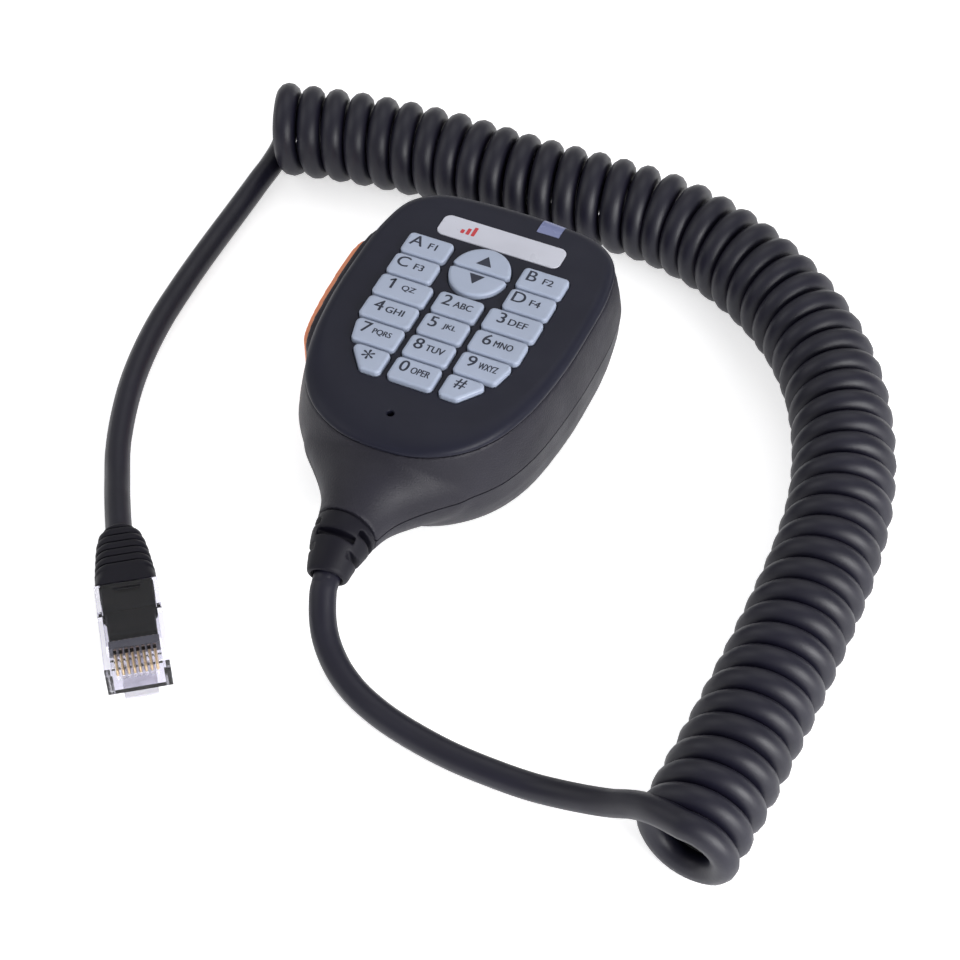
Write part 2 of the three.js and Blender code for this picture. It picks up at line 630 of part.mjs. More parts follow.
// Slots through the wall, in turn on the two sides and on the top and bottom.
const SLOT_ROWS = [{ y: -51.2, atSides: true }, { y: -53.6, atSides: false }, { y: -56.6, atSides: true }];
const SLOT_WIDTH = 1.1;
const SLOT_FLOOR = 3.1;
function reliefSlots() {
  const half = SLOT_WIDTH / 2;
  return SLOT_ROWS.flatMap(({ y, atSides }) => [1, -1].map((side) => {
    const { x, z } = sag(new THREE.Vector3(0, y, SPLIT));
    const near = side > 0 ? SLOT_FLOOR : -8;
    const far = side > 0 ? 8 : -SLOT_FLOOR;
    if (atSides) return box(x + near, x + far, y - half, y + half, z - 2.6, z + 2.6);
    return box(x - 3.6, x + 3.6, y - half, y + half, z + near, z + far);
  }));
}

// The length of cord inside the relief and the neck.
function cordInner() {
  const radius = CORD_DIAMETER / 2 - 0.1;
  const stations = [RELIEF_TIP, -59, -57, -55, -53, -51, -49, -44, -38, -30.5];
  return loft(stations.map((y) => {
    const ring = [];
    for (let i = 0; i < 12; i += 1) {
      const angle = (2 * Math.PI * i) / 12;
      ring.push(sag(new THREE.Vector3(-radius * Math.cos(angle), y, SPLIT + radius * Math.sin(angle))));
    }
    return ring;
  }));
}

// Routes, as points on the cord's centre line. The cord lies on the surface except where it comes
// down from the relief, climbs over the end of the coil, and lifts to meet the plug.
const FLOOR_LINE = CORD_DIAMETER / 2 + 0.05;
const MIC_TAIL = [
  [1.28, -61.2, 11.87], [1.55, -62.2, 11.45], [3.2, -65.7, 9.2], [5.3, -68.6, 7.2], [8.9, -71.7, 5.1],
  [13.4, -74.2, 3.6], [18.2, -75.9, 2.75], [23.5, -77.4, FLOOR_LINE], [34, -79.2, FLOOR_LINE],
  [44, -79.6, FLOOR_LINE], [50.6, -79.5, 2.8], [56.1, -79.6, 4.1], [61.8, -80.1, 6.5],
  [66, -80.7, 9], [69, -81.1, 10.9],
];
const PLUG_TAIL = [
  [-66.9, 42.1, FLOOR_LINE], [-66.8, 37, FLOOR_LINE], [-66.7, 30, FLOOR_LINE], [-66.6, 21, FLOOR_LINE],
  [-66.4, 12, FLOOR_LINE], [-66, 3.4, FLOOR_LINE], [-65.3, -5.5, FLOOR_LINE], [-63.8, -15, FLOOR_LINE],
  [-61.6, -24, FLOOR_LINE], [-58.6, -32.6, FLOOR_LINE], [-55.2, -40.4, FLOOR_LINE],
  [-51.6, -46.8, 2.8], [-47.9, -52.9, 3.7], [-43.1, -60.3, 4.57],
];
const COIL_AXIS = [
  [-67.2, 51.1], [-48, 55.3], [-30, 57.4], [-10, 57.4], [8, 58.2], [22, 58], [36, 54.3], [49, 47.7],
  [60, 38.8], [69, 27.5], [75.5, 14.5], [80, 0], [82, -15], [82.4, -35], [82, -55], [81.2, -72],
  [80.1, -85.1],
];

function tube(route, radius, sides, steps) {
  const extrudePath = new THREE.CatmullRomCurve3(route.map((point) => new THREE.Vector3(...point)));
  const section = new THREE.Shape();
  for (let i = 0; i < sides; i += 1) {
    const angle = (2 * Math.PI * (i + 0.5)) / sides;
    const x = radius * Math.cos(angle);
    const y = radius * Math.sin(angle);
    if (i === 0) section.moveTo(x, y);
    else section.lineTo(x, y);
  }
  section.closePath();
  return new THREE.ExtrudeGeometry(section, { steps, bevelEnabled: false, extrudePath });
}

const cordTail = (route, steps) => toSolid(tube(route, CORD_DIAMETER / 2, 8, steps));

// A point moved on by a distance, away from the point beside it.
function drawnOut([x, y], [besideX, besideY], distance) {
  const length = Math.hypot(x - besideX, y - besideY);
  return [x + (distance * (x - besideX)) / length, y + (distance * (y - besideY)) / length];
}

// The curly part is one thick tube, as wide as the coil's turns. Its ends reach half a cord's width
// past the middle of the last turns.
function cordCurl() {
  const start = drawnOut(COIL_AXIS[0], COIL_AXIS[1], CORD_DIAMETER / 2);
  const end = drawnOut(COIL_AXIS.at(-1), COIL_AXIS.at(-2), CORD_DIAMETER / 2);
  const route = [start, ...COIL_AXIS.slice(1, -1), end].map(([x, y]) => [x, y, COIL_HEIGHT]);
  return toSolid(tube(route, COIL_DIAMETER / 2, 12, 24));
}

// ---------------------------------------------------------------- modular plug
// Local frame: y from the cord's entry to the nose, z up, x across, with the axis at x = z = 0.
const HOUSING_START = BOOT_LENGTH + GAP;
const NOSE = BOOT_LENGTH + HOUSING_LENGTH;
const HALF_HOUSING = HOUSING_WIDTH / 2;
const HALF_DEEP = HOUSING_HEIGHT / 2;

function boxRing(y, halfWidth, halfHeight, radius) {
  const points = roundedRect(0, 0, 2 * halfWidth, 2 * halfHeight, radius, 3);
  return points.map(([x, z]) => new THREE.Vector3(-x, y, z));
}

// The boot swells from the cord to the housing's size, with narrow grooves over its first part.
const BOOT_GROOVES = 6;
const GROOVE_PITCH = 1.95;
const FIRST_GROOVE = 1;
const BOOT_WIDE = [3.2, 4.1, 4.6, 4.9, 5.1, 5.3, 5.5];
function plugBoot() {
  const rings = [boxRing(0, 2.9, 2.9, 2.8)];
  BOOT_WIDE.forEach((wide, i) => {
    const groove = FIRST_GROOVE + i * GROOVE_PITCH;
    const deep = 3.1 + 0.1 * i;
    const start = i === 0 ? 0.3 : groove - GROOVE_PITCH + 0.45;
    rings.push(boxRing(start, wide, deep, 2.8), boxRing(groove, wide + 0.2, deep, 2.8));
    if (i < BOOT_GROOVES) {
      rings.push(boxRing(groove + 0.1, wide - 0.4, deep - 0.5, 2.4));
      rings.push(boxRing(groove + 0.35, wide - 0.3, deep - 0.5, 2.4));
    }
  });
  rings.push(boxRing(BOOT_LENGTH, 5.75, 3.4, 1.2));
  return loft(rings);
}

// The boot's tongue and the cord's jacket, inside the clear housing.
const TONGUE_END = HOUSING_START + 13.5;
function plugInsert() {
  return loft([
    boxRing(HOUSING_START + GAP, 4.7, 2, 0.6), boxRing(TONGUE_END - 0.4, 4.7, 2, 0.6),
    boxRing(TONGUE_END, 4.3, 1.7, 0.5),
  ]);
}

const plugLoadBar = () => box(-4.6, 4.6, TONGUE_END + 0.4, TONGUE_END + 2.4, -1.4, 0.9);

const CONTACTS = [...Array(8).keys()];
const contactX = (i) => (i - 3.5) * CONTACT_PITCH;

// A clear box, open towards the boot, with a slot for each contact and the cord grip's well on top.
function plugHousing() {
  const body = box(-HALF_HOUSING, HALF_HOUSING, HOUSING_START, NOSE, -HALF_DEEP, HALF_DEEP);
  const inside = box(-5, 5, HOUSING_START - 1, TONGUE_END + 2.8, -2.3, 2.3);
  const slot = box(-0.33, 0.33, NOSE - 4.3, NOSE + 1, 0.3, 5);
  const slots = CONTACTS.map((i) => slot.translate([contactX(i), 0, 0]));
  const gripWell = box(-3.4, 3.4, HOUSING_START + 2.3, HOUSING_START + 5.1, 1, 5);
  return cut(body, inside, gripWell, ...slots);
}

// A side outline, given as pairs of y and z, made as thick as given across x.
function acrossX(outline, thickness) {
  const shape = new THREE.Shape(outline.map(([y, z]) => new THREE.Vector2(y, z)));
  const geometry = new THREE.ExtrudeGeometry(shape, { depth: thickness, bevelEnabled: false });
  geometry.rotateX(Math.PI / 2);
  geometry.rotateZ(Math.PI / 2);
  geometry.translate(-thickness / 2, 0, 0);
  return toSolid(geometry);
}

const CONTACT_SIDE = [
  [NOSE - 3.9, 0.7], [NOSE - 0.4, 0.7], [NOSE - 0.4, 2.1], [NOSE - 1, 2.7], [NOSE - 3.9, 2.7],
];
const plugContact = (i) => acrossX(CONTACT_SIDE, 0.36).translate([contactX(i), 0, 0]);

// The latch springs from under the nose and slopes back and down to a narrow finger tab.
const LATCH_ROOT = -HALF_DEEP - GAP;
const LATCH_SIDE = [
  [NOSE - 0.6, LATCH_ROOT], [NOSE - 0.2, LATCH_ROOT - 1], [NOSE - 1.6, LATCH_ROOT - 1.6],
  [NOSE - 8.7, LATCH_ROOT - 2.2], [NOSE - 16.2, LATCH_ROOT - 2.8],
  [NOSE - 16.2, LATCH_ROOT - 1.9], [NOSE - 8.7, LATCH_ROOT - 1.3],
  [NOSE - 3, LATCH_ROOT - 0.7], [NOSE - 3, LATCH_ROOT],
];
const LATCH_WAIST = NOSE - 8.1;
const LATCH_WIDTH = 6.2;
const TAB_WIDTH = 3.4;
function plugLatch() {
  const beside = box(TAB_WIDTH / 2, LATCH_WIDTH, NOSE - 20, LATCH_WAIST, -9, 0);
  const otherSide = beside.translate([-LATCH_WIDTH - TAB_WIDTH / 2, 0, 0]);
  return cut(acrossX(LATCH_SIDE, LATCH_WIDTH), beside, otherSide);
}

// ---------------------------------------------------------------- finishes
const finish = (color, roughness, metalness = 0) => ({ color, roughness, metalness });
const SHELL_BLACK = finish(0x2a2a2e, 0.7);
const PANEL_BLACK = finish(0x24252a, 0.5);
const KEY_BLUE = finish(0xb9c2d6, 0.6);
const PEARL = finish(0xcfcbd4, 0.35, 0.2);
const LAMP_BLUE = finish(0x8d93c4, 0.3);
const ORANGE = finish(0xe8825a, 0.55);
const RUBBER_BLACK = finish(0x1b1b1e, 0.8);
const CORD_BLACK = finish(0x202023, 0.45);
const BOARD_GREEN = finish(0x1f5b3a, 0.6);
const STEEL = finish(0xa8a9ad, 0.35, 0.9);
const GOLD = finish(0xc9a550, 0.3, 0.9);
const CLEAR = finish(0xd9dde0, 0.15);
const WHITE = finish(0xe8e8e6, 0.5);

// ---------------------------------------------------------------- assembly
const microphone = new THREE.Group();
microphone.position.set(MIC_X, MIC_Y, 0);

function place(parent, name, solid, material) {
  const mesh = new THREE.Mesh(toGeometry(solid), new THREE.MeshStandardMaterial(material));
  mesh.name = name;
  parent.add(mesh);
}

place(microphone, "front_shell", frontShell(), SHELL_BLACK);
place(microphone, "rear_shell", rearShell(), SHELL_BLACK);
place(microphone, "face_panel", facePanel(), PANEL_BLACK);
place(microphone, "label_plate", labelPlate(), PEARL);
place(microphone, "led_window", ledWindow(), LAMP_BLUE);
place(microphone, "keypad_mat", keypadMat(), RUBBER_BLACK);
KEYS.forEach((key) => place(microphone, key.name, keyCap(key), KEY_BLUE));
place(microphone, "main_pcb", mainPcb(), BOARD_GREEN);
place(microphone, "mic_capsule", micCapsule(), STEEL);
place(microphone, "mic_grommet", micGrommet(), RUBBER_BLACK);
place(microphone, "status_led", statusLed(), WHITE);
place(microphone, "cord_connector", cordConnector(), WHITE);
place(microphone, "ptt_bar", pttBar(), ORANGE);
place(microphone, "ptt_hinge_pin", pttHingePin(), STEEL);
place(microphone, "ptt_switch", pttSwitch(), RUBBER_BLACK);
place(microphone, "ptt_plunger", pttPlunger(), WHITE);
place(microphone, "hanger_stud", hangerStud(), STEEL);
place(microphone, "hanger_screw", hangerScrew(), STEEL);
CASE_SCREWS.forEach((spot, i) => place(microphone, `case_screw_${i + 1}`, caseScrew(spot), STEEL));
BOARD_SCREWS.forEach((spot, i) => place(microphone, `board_screw_${i + 1}`, boardScrew(spot), STEEL));
place(microphone, "cable_clamp", cableClamp(), WHITE);
place(microphone, "strain_relief", strainRelief(), RUBBER_BLACK);
place(microphone, "cord_inner", cordInner(), CORD_BLACK);
place(microphone, "cord_mic_tail", cordTail(MIC_TAIL, 16), CORD_BLACK);
place(microphone, "cord_curl", cordCurl(), CORD_BLACK);
place(microphone, "cord_plug_tail", cordTail(PLUG_TAIL, 16), CORD_BLACK);

const plug = new THREE.Group();
plug.position.set(...PLUG_ENTRY);
plug.rotation.set(PLUG_PITCH, 0, PLUG_HEADING, "ZYX");
microphone.add(plug);
place(plug, "plug_boot", plugBoot(), RUBBER_BLACK);
place(plug, "plug_insert", plugInsert(), RUBBER_BLACK);
place(plug, "plug_load_bar", plugLoadBar(), WHITE);
place(plug, "plug_housing", plugHousing(), CLEAR);
place(plug, "plug_latch", plugLatch(), CLEAR);
CONTACTS.forEach((i) => place(plug, `plug_contact_${i + 1}`, plugContact(i), GOLD));

const group = new THREE.Group();
group.add(microphone);

export default group;
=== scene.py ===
"""Looks of a hand microphone: keypad face, push-to-talk bar, curly cord and a clear modular plug.

Shapes are worked out in millimetres in the microphone's own frame, as in the part's source, and
turned into metres in the row frame by place().
"""

import math

import bmesh
import bpy
from mathutils import Matrix, Vector


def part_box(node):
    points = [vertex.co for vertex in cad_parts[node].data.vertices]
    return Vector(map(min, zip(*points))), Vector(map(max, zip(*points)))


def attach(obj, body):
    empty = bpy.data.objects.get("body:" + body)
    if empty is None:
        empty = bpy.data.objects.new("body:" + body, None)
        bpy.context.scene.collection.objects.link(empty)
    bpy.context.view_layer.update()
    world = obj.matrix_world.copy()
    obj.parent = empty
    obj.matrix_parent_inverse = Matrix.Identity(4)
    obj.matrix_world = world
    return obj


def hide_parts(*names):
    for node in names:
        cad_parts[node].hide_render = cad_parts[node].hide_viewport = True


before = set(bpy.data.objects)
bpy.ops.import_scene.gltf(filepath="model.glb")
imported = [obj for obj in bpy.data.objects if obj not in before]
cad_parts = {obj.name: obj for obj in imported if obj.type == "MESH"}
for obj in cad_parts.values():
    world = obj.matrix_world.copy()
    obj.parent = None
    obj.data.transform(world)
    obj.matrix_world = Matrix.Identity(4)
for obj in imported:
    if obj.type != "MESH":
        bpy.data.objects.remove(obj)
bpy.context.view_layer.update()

# ---------------------------------------------------------------- driving dimensions, millimetres
MM = 0.001

# Heights above the floor: the shells part at SPLIT with a gap of SEAM.
SPLIT = 14.0
SEAM = 0.3
SHELL_TOP = 24.35
PANEL_FOOT = 24.65
PANEL_TOP = 27.0
KEY_TOP = 28.0
KEY_FOOT = 23.0
WALL = 2.0

# Along the microphone: its y axis runs from the cord up to the top of the face.
NECK_END = -48.8
RELIEF_TIP = -59.3
MIC_HOLE_Y = -29.5
STUD_Y = 4.0
RECESS_DEPTH = 5.2

# The casing screws: radii of their holes and head seats, and of the bosses and pads round them.
SCREW_HOLE, SCREW_SEAT = 1.3, 2.3
BOSS_RADIUS, PAD_RADIUS = 2.4, 3.2

# The relief drops by RELIEF_DROP and drifts by RELIEF_DRIFT, RELIEF_BEND away from the neck's end.
RELIEF_BEND = 12.0
RELIEF_DROP = 2.0
RELIEF_DRIFT = 1.2

# The cord. Its whole length is in metres.
CORD_DIAMETER = 5.1
COIL_DIAMETER = 20.1
COIL_RADIUS = (COIL_DIAMETER - CORD_DIAMETER) / 2
COIL_TURNS = 48.5
COIL_HEIGHT = COIL_DIAMETER / 2 + 0.05

# Right halves of the casing's outlines, from the middle of the neck end round to the middle of the top.
HALF_FACE = [
    (0, -27.6), (7.5, -27), (14, -24.4), (18.6, -19.4), (21.2, -12.5), (22.6, -3),
    (22.9, 7), (22.3, 17), (20.2, 24), (15, 27.5), (7, 28.6), (0, 28.8),
]
HALF_EDGE = [
    (0, -36.9), (8, -35.8), (15.2, -31.7), (20, -25.5), (23, -17), (24.7, -5),
    (25.05, 6), (24.6, 18), (22.4, 26), (17.5, 30.2), (8, 31.8), (0, 32.1),
]
HALF_SPLIT = [
    (0, -38.9), (8, -37.7), (15, -34.6), (21, -27.6), (24.4, -18.5), (26.2, -4.5),
    (26.6, 7), (26.1, 18.5), (23.9, 27.2), (18.6, 31.7), (8.5, 33.6), (0, 33.9),
]
HALF_LOWER = [
    (0, -35.2), (7.2, -34.4), (13.4, -31.1), (18.8, -25.4), (22.6, -17.3), (24.7, -4.2),
    (25.1, 7), (24.6, 18), (22.4, 25.8), (17.2, 29.7), (8, 31.6), (0, 31.9),
]
HALF_BACK = [
    (0, -29.5), (6, -28.8), (11.2, -26), (15.6, -21), (18.6, -14.5), (20.2, -4),
    (20.5, 6.5), (20, 16), (18, 22.3), (13.6, 25.4), (6.5, 26.8), (0, 27),
]

# The neck: y, half width, reach above the split line and reach below it.
NECK_SECTIONS = [
    (NECK_END, 6.1, 6.2, 6), (-47, 6.6, 6.5, 6.2), (-44.5, 7.6, 7.3, 6.8), (-42, 9.2, 8.3, 7.7),
    (-39.5, 11.2, 9.1, 8.7), (-36.5, 14, 9.7, 9.8), (-33, 17.2, 9.8, 10.8), (-28, 18.5, 9, 10),
]

# The push-to-talk bar: the pad and the slot on the left wall, and the bar's own outer and inner sides.
PTT_PAD = [
    (-22, 23.4), (-25.2, 21.2), (-26.9, 18.6), (-27.7, 14.5), (-27.75, 6), (-27.3, -3),
    (-26.4, -11), (-24.4, -16.8), (-22, -18.5),
]
PTT_SLOT = [(-32, 18.4), (-32, -15.7), (-24.6, -15.7), (-22.5, -14.9), (-22.5, 18.4)]
PTT_OUTER = [
    (-27.3, 18.05), (-28.8, 17.3), (-29.55, 15.2), (-29.7, 9), (-29.5, 3), (-29.05, -3), (-28.3, -8.6),
    (-27.3, -12.4), (-25.7, -15.05),
]
PTT_INNER = [
    (-24.9, -13.6), (-25.6, -9), (-26.2, -3), (-26.2, -1), (-24, -0.9), (-20.2, -0.8), (-20.2, 1.6),
    (-24, 1.7), (-26.2, 1.8), (-26.3, 9), (-26, 13), (-25.2, 17.2),
]
PTT_LOW, PTT_HIGH = 8.2, 19.8
PTT_PIVOT = (-25.2, 15.6)
PLUNGER_Z = 16.6

# The strain relief: y and radius of its sleeve, and y of its slots on the sides and on top and bottom.
RELIEF_STEM, RELIEF_FLANGE = 4.0, 5.0
RELIEF_OUTSIDE = [
    (RELIEF_TIP, 3.3), (-58.9, 3.75), (-57.9, 4.05), (-56.5, 4.4), (-55, 4.8), (-53.2, 5.3), (-51.2, 5.75),
    (NECK_END - 0.3, 5.95),
]
SIDE_SLOTS = (-51, -55.4)
TOP_SLOT = -52.9

# The modular plug, along its own axis.
PLUG_ENTRY = (-42.9, -60.5, 4.6)
PLUG_HEADING, PLUG_PITCH = -143.8, 6
BOOT_LENGTH = 15.9
HOUSING_START = BOOT_LENGTH + 0.3
NOSE = BOOT_LENGTH + 21.5
HOUSING_WIDTH, HOUSING_HEIGHT = 11.7, 6.6
TONGUE_END = HOUSING_START + 12.2
EAR_START = HOUSING_START + 5.6
CONTACT_PITCH = 1.02
WIRE_Z = 0.3

# The cord's free stretches: from the relief to the coil's far end, and from the coil's near end to
# the plug. The coil's own axis runs between them.
MIC_TAIL = [
    (0.6, -57.5, 12.95),
    (1.1, -60, 12.2), (1.3, -61.2, 11.9), (1.6, -62.2, 11.4),
    (3.2, -65.7, 9.2), (5.3, -68.6, 7.2), (8.9, -71.7, 5.1),
    (13.4, -74.2, 3.6), (18.2, -75.9, 2.75), (23.5, -77.4, 2.6),
    (34, -79.2, 2.6), (44, -79.6, 2.6), (50.6, -79.5, 2.8),
    (56.1, -79.6, 4.1), (61.8, -80.1, 6.5), (66, -80.7, 9),
    (70.5, -81.6, 12.6), (75, -83.3, 15.8),
]
PLUG_TAIL = [
    (-66.9, 46.5, 2.6), (-66.9, 42.1, 2.6), (-66.8, 37, 2.6),
    (-66.7, 30, 2.6), (-66.6, 21, 2.6), (-66.4, 12, 2.6),
    (-66, 3.4, 2.6), (-65.3, -5.5, 2.6), (-63.8, -15, 2.6),
    (-61.6, -24, 2.6), (-58.6, -32.6, 2.6), (-55.2, -40.4, 2.6),
    (-51.6, -46.8, 2.8), (-47.9, -52.9, 3.7), (-43.1, -60.3, 4.57),
    (-41.8, -62, 4.8),
]
COIL_AXIS = [
    (-67.2, 51.1), (-48, 55.3), (-30, 57.4), (-10, 57.4), (8, 58.2),
    (22, 58), (36, 54.3), (49, 47.7), (60, 38.8), (69, 27.5),
    (75.5, 14.5), (80, 0), (82, -15), (82.4, -35), (82, -55),
    (81.2, -72), (80.1, -85.1),
]

# The microphone frame's origin in the row frame, from two CAD pieces that fix it.
label_low, label_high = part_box("label_plate")
MIC = Vector(((label_low.x + label_high.x) / 2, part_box("front_shell")[0].y - NECK_END * MM, 0))

# The plug's own frame: y from the cord's entry to the nose, z up.
PLUG = (
    Matrix.Translation(MIC + Vector(PLUG_ENTRY) * MM)
    @ Matrix.Rotation(math.radians(PLUG_HEADING), 4, "Z")
    @ Matrix.Rotation(math.radians(PLUG_PITCH), 4, "X")
)

BODY = "microphone"


# ---------------------------------------------------------------- curves
def through(points, closed, per_span):
    """Points on a centripetal Catmull-Rom curve through the given ones."""
    known = [Vector(point) for point in points]
    if not closed:
        known = [2 * known[0] - known[1], *known, 2 * known[-1] - known[-2]]
    spans = range(len(known)) if closed else range(1, len(known) - 2)
    path = []
    for i in spans:
        before, start, end, after = (known[(i + step) % len(known)] for step in (-1, 0, 1, 2))
        near, own, far = (math.sqrt((b - a).length) for a, b in ((before, start), (start, end), (end, after)))
        leaving = ((start - before) / near - (end - before) / (near + own)) * own + (end - start)
        arriving = (end - start) + ((after - end) / far - (after - start) / (own + far)) * own
        for k in range(per_span):
            t = k / per_span
            path.append(
                start * (1 + t * t * (2 * t - 3)) + leaving * (t * (1 - t) ** 2)
                + end * (t * t * (3 - 2 * t)) + arriving * (t * t * (t - 1))
            )
    if not closed:
        path.append(known[-2])
    return path


def outline(half, per_span=8):
    """The whole smooth outline that a right half stands for."""
    left = [(-x, y) for x, y in reversed(half[1:-1])]
    return through([*half, *left], True, per_span)


def inset(points, distance):
    """An outline moved inwards, square to its own edge."""
    moved = []
    for i, point in enumerate(points):
        run = points[(i + 1) % len(points)] - points[i - 1]
        moved.append(point + Vector((-run.y, run.x)).normalized() * distance)
    return moved


def mixed(a, b, share):
    """The outline that lies between two others, by the given share of the way from a to b."""
    return [p.lerp(q, share) for p, q in zip(a, b)]


def rounded_rect(low, high, radius, steps=8):
    """A rectangle with round corners, counter-clockwise."""
    middle = (Vector(low) + Vector(high)) / 2
    half = (Vector(high) - Vector(low)) / 2 - Vector((radius, radius))
    points = []
    for sx, sy, start in ((1, -1, -90), (1, 1, 0), (-1, 1, 90), (-1, -1, 180)):
        for i in range(steps + 1):
            angle = math.radians(start + 90 * i / steps)
            round_part = Vector((math.cos(angle), math.sin(angle))) * radius
            points.append(middle + Vector((sx * half.x, sy * half.y)) + round_part)
    return points


def rounded(corners, radius, steps=8):
    """A convex outline, counter-clockwise, with its corners rounded."""
    points = []
    for i, corner in enumerate(corners):
        back = (corners[i - 1] - corner).normalized()
        ahead = (corners[(i + 1) % len(corners)] - corner).normalized()
        half = back.angle(ahead) / 2
        middle = corner + (back + ahead).normalized() * (radius / math.sin(half))
        start = corner + back * (radius / math.tan(half)) - middle
        for k in range(steps + 1):
            turn = (math.pi - 2 * half) * k / steps
            points.append(middle + Matrix.Rotation(turn, 2) @ start)
    return points


def circle(x, y, radius, sides=32):
    """A circle, counter-clockwise."""
    turns = [2 * math.pi * i / sides for i in range(sides)]
    return [Vector((x + radius * math.cos(a), y + radius * math.sin(a))) for a in turns]


def level(points, z):
    """A flat outline laid at height z."""
    return [Vector((p.x, p.y, z)) for p in points]


# ---------------------------------------------------------------- meshes
def place(point):
    """A point in the microphone's frame, in millimetres, as metres in the row frame."""
    return MIC + Vector(point) * MM


def plug_place(point):
    """A point in the plug's frame, in millimetres, as metres in the row frame."""
    return PLUG @ (Vector(point) * MM)


def loft(name, rings, to_row=place):
    """A closed skin through rings that have the same number of points."""
    count = len(rings[0])
    vertices = [to_row(point) for ring in rings for point in ring]
    faces = [tuple(reversed(range(count))), tuple(range(len(vertices) - count, len(vertices)))]
    for r in range(len(rings) - 1):
        for i in range(count):
            after = (i + 1) % count
            low, high = r * count, (r + 1) * count
            faces.append((low + i, low + after, high + after, high + i))
    mesh = bpy.data.meshes.new(name)
    mesh.from_pydata(vertices, [], faces)
    piece = bpy.data.objects.new(name, mesh)
    bpy.context.collection.objects.link(piece)
    outward(piece)
    return piece


def outward(piece):
    """Turns every face outward."""
    work = bmesh.new()
    work.from_mesh(piece.data)
    bmesh.ops.recalc_face_normals(work, faces=work.faces)
    work.to_mesh(piece.data)
    work.free()


def slab(name, points, low, high, flare=0.0):
    """An outline pushed straight up. With a flare it opens by that much over its last stretch."""
    rings = [level(points, low), level(points, high - 2 * flare)]
    if flare:
        rings.append(level(inset(points, -2.5 * flare), high + 0.5 * flare))
    return loft(name, rings)


def post(name, x, y, low, high, radius):
    """An upright round post."""
    return slab(name, circle(x, y, radius), low, high)


def rod_y(name, x, z, start, end, radius, sides=32):
    """A rod along y."""
    ring = [(x - p.x, z + p.y) for p in circle(0, 0, radius, sides)]
    return loft(name, [[Vector((a, y, b)) for a, b in ring] for y in (start, end)])


def settle(piece):
    """Applies the piece's modifiers."""
    graph = bpy.context.evaluated_depsgraph_get()
    mesh = bpy.data.meshes.new_from_object(piece.evaluated_get(graph))
    piece.modifiers.clear()
    piece.data = mesh


def combine(piece, tools, operation):
    """Adds the tools to the piece, or takes them away, and drops them."""
    for tool in tools:
        step = piece.modifiers.new("combine", "BOOLEAN")
        step.object = tool
        step.operation = operation
        step.solver = "MANIFOLD"
    settle(piece)
    for tool in tools:
        bpy.data.objects.remove(tool)


def carve(piece, *tools):
    """Takes the tools away from the piece."""
    combine(piece, tools, "DIFFERENCE")


def weld(piece, *tools):
    """Adds the tools to the piece."""
    combine(piece, tools, "UNION")


def duplicate(piece, name):
    """A second piece with a mesh of its own."""
    copy = bpy.data.objects.new(name, piece.data.copy())
    bpy.context.collection.objects.link(copy)
    return copy


def round_off(piece, size, passes):
    """Remeshes the piece evenly and smooths it, which rounds its edges. The size is in millimetres."""
    remesh = piece.modifiers.new("even_mesh", "REMESH")
    remesh.mode = "VOXEL"
    remesh.voxel_size = size * MM
    smooth = piece.modifiers.new("soften", "SMOOTH")
    smooth.factor = 0.5
    smooth.iterations = passes
    settle(piece)


def polish(piece, material, nodes, body=BODY, angle=32):
    """Smooth shading with crisp edges, a material, and the CAD nodes that the piece stands for."""
    piece.data.shade_smooth()
    piece.data.set_sharp_from_angle(angle=math.radians(angle))
    piece.modifiers.new("even_shading", "WEIGHTED_NORMAL").keep_sharp = True
    piece.data.materials.clear()
    piece.data.materials.append(material)
    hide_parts(*nodes)
    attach(piece, body)
    return piece


# ---------------------------------------------------------------- materials
def material_nodes(name, base, roughness, metallic=0.0):
    """A new material, its node tree and its shader, with the even values set on the shader."""
    material = bpy.data.materials.new(name)
    material.use_nodes = True
    tree = material.node_tree
    shader = tree.nodes["Principled BSDF"]
    shader.inputs["Base Color"].default_value = (*base, 1)
    shader.inputs["Roughness"].default_value = roughness
    shader.inputs["Metallic"].default_value = metallic
    return material, tree, shader


def noise_at(tree, size, detail=2.0, stretch=(1, 1, 1)):
    """Noise with features of about the given size in metres."""
    where = tree.nodes.new("ShaderNodeTexCoord")
    mapping = tree.nodes.new("ShaderNodeMapping")
    mapping.inputs["Scale"].default_value = stretch
    noise = tree.nodes.new("ShaderNodeTexNoise")
    noise.inputs["Scale"].default_value = 1 / size
    noise.inputs["Detail"].default_value = detail
    tree.links.new(where.outputs["Object"], mapping.inputs["Vector"])
    tree.links.new(mapping.outputs["Vector"], noise.inputs["Vector"])
    return noise.outputs["Fac"]


def ramp(tree, value, stops):
    """A colour ramp over a value. The two stops are pairs of position and colour."""
    node = tree.nodes.new("ShaderNodeValToRGB")
    for point, (position, color) in zip(node.color_ramp.elements, stops):
        point.position = position
        point.color = (*color, 1)
    tree.links.new(value, node.inputs["Fac"])
    return node.outputs["Color"]


def spread(tree, value, low, high):
    """Turns noise, which stays near the middle, into the range from low to high."""
    node = tree.nodes.new("ShaderNodeMapRange")
    node.inputs["From Min"].default_value = 0.3
    node.inputs["From Max"].default_value = 0.7
    node.inputs["To Min"].default_value = low
    node.inputs["To Max"].default_value = high
    tree.links.new(value, node.inputs["Value"])
    return node.outputs["Result"]


def relief_from(tree, shader, value, depth):
    """Bump from a value, as deep as depth in metres."""
    node = tree.nodes.new("ShaderNodeBump")
    node.inputs["Distance"].default_value = depth
    node.inputs["Strength"].default_value = 1.0
    tree.links.new(value, node.inputs["Height"])
    tree.links.new(node.outputs["Normal"], shader.inputs["Normal"])


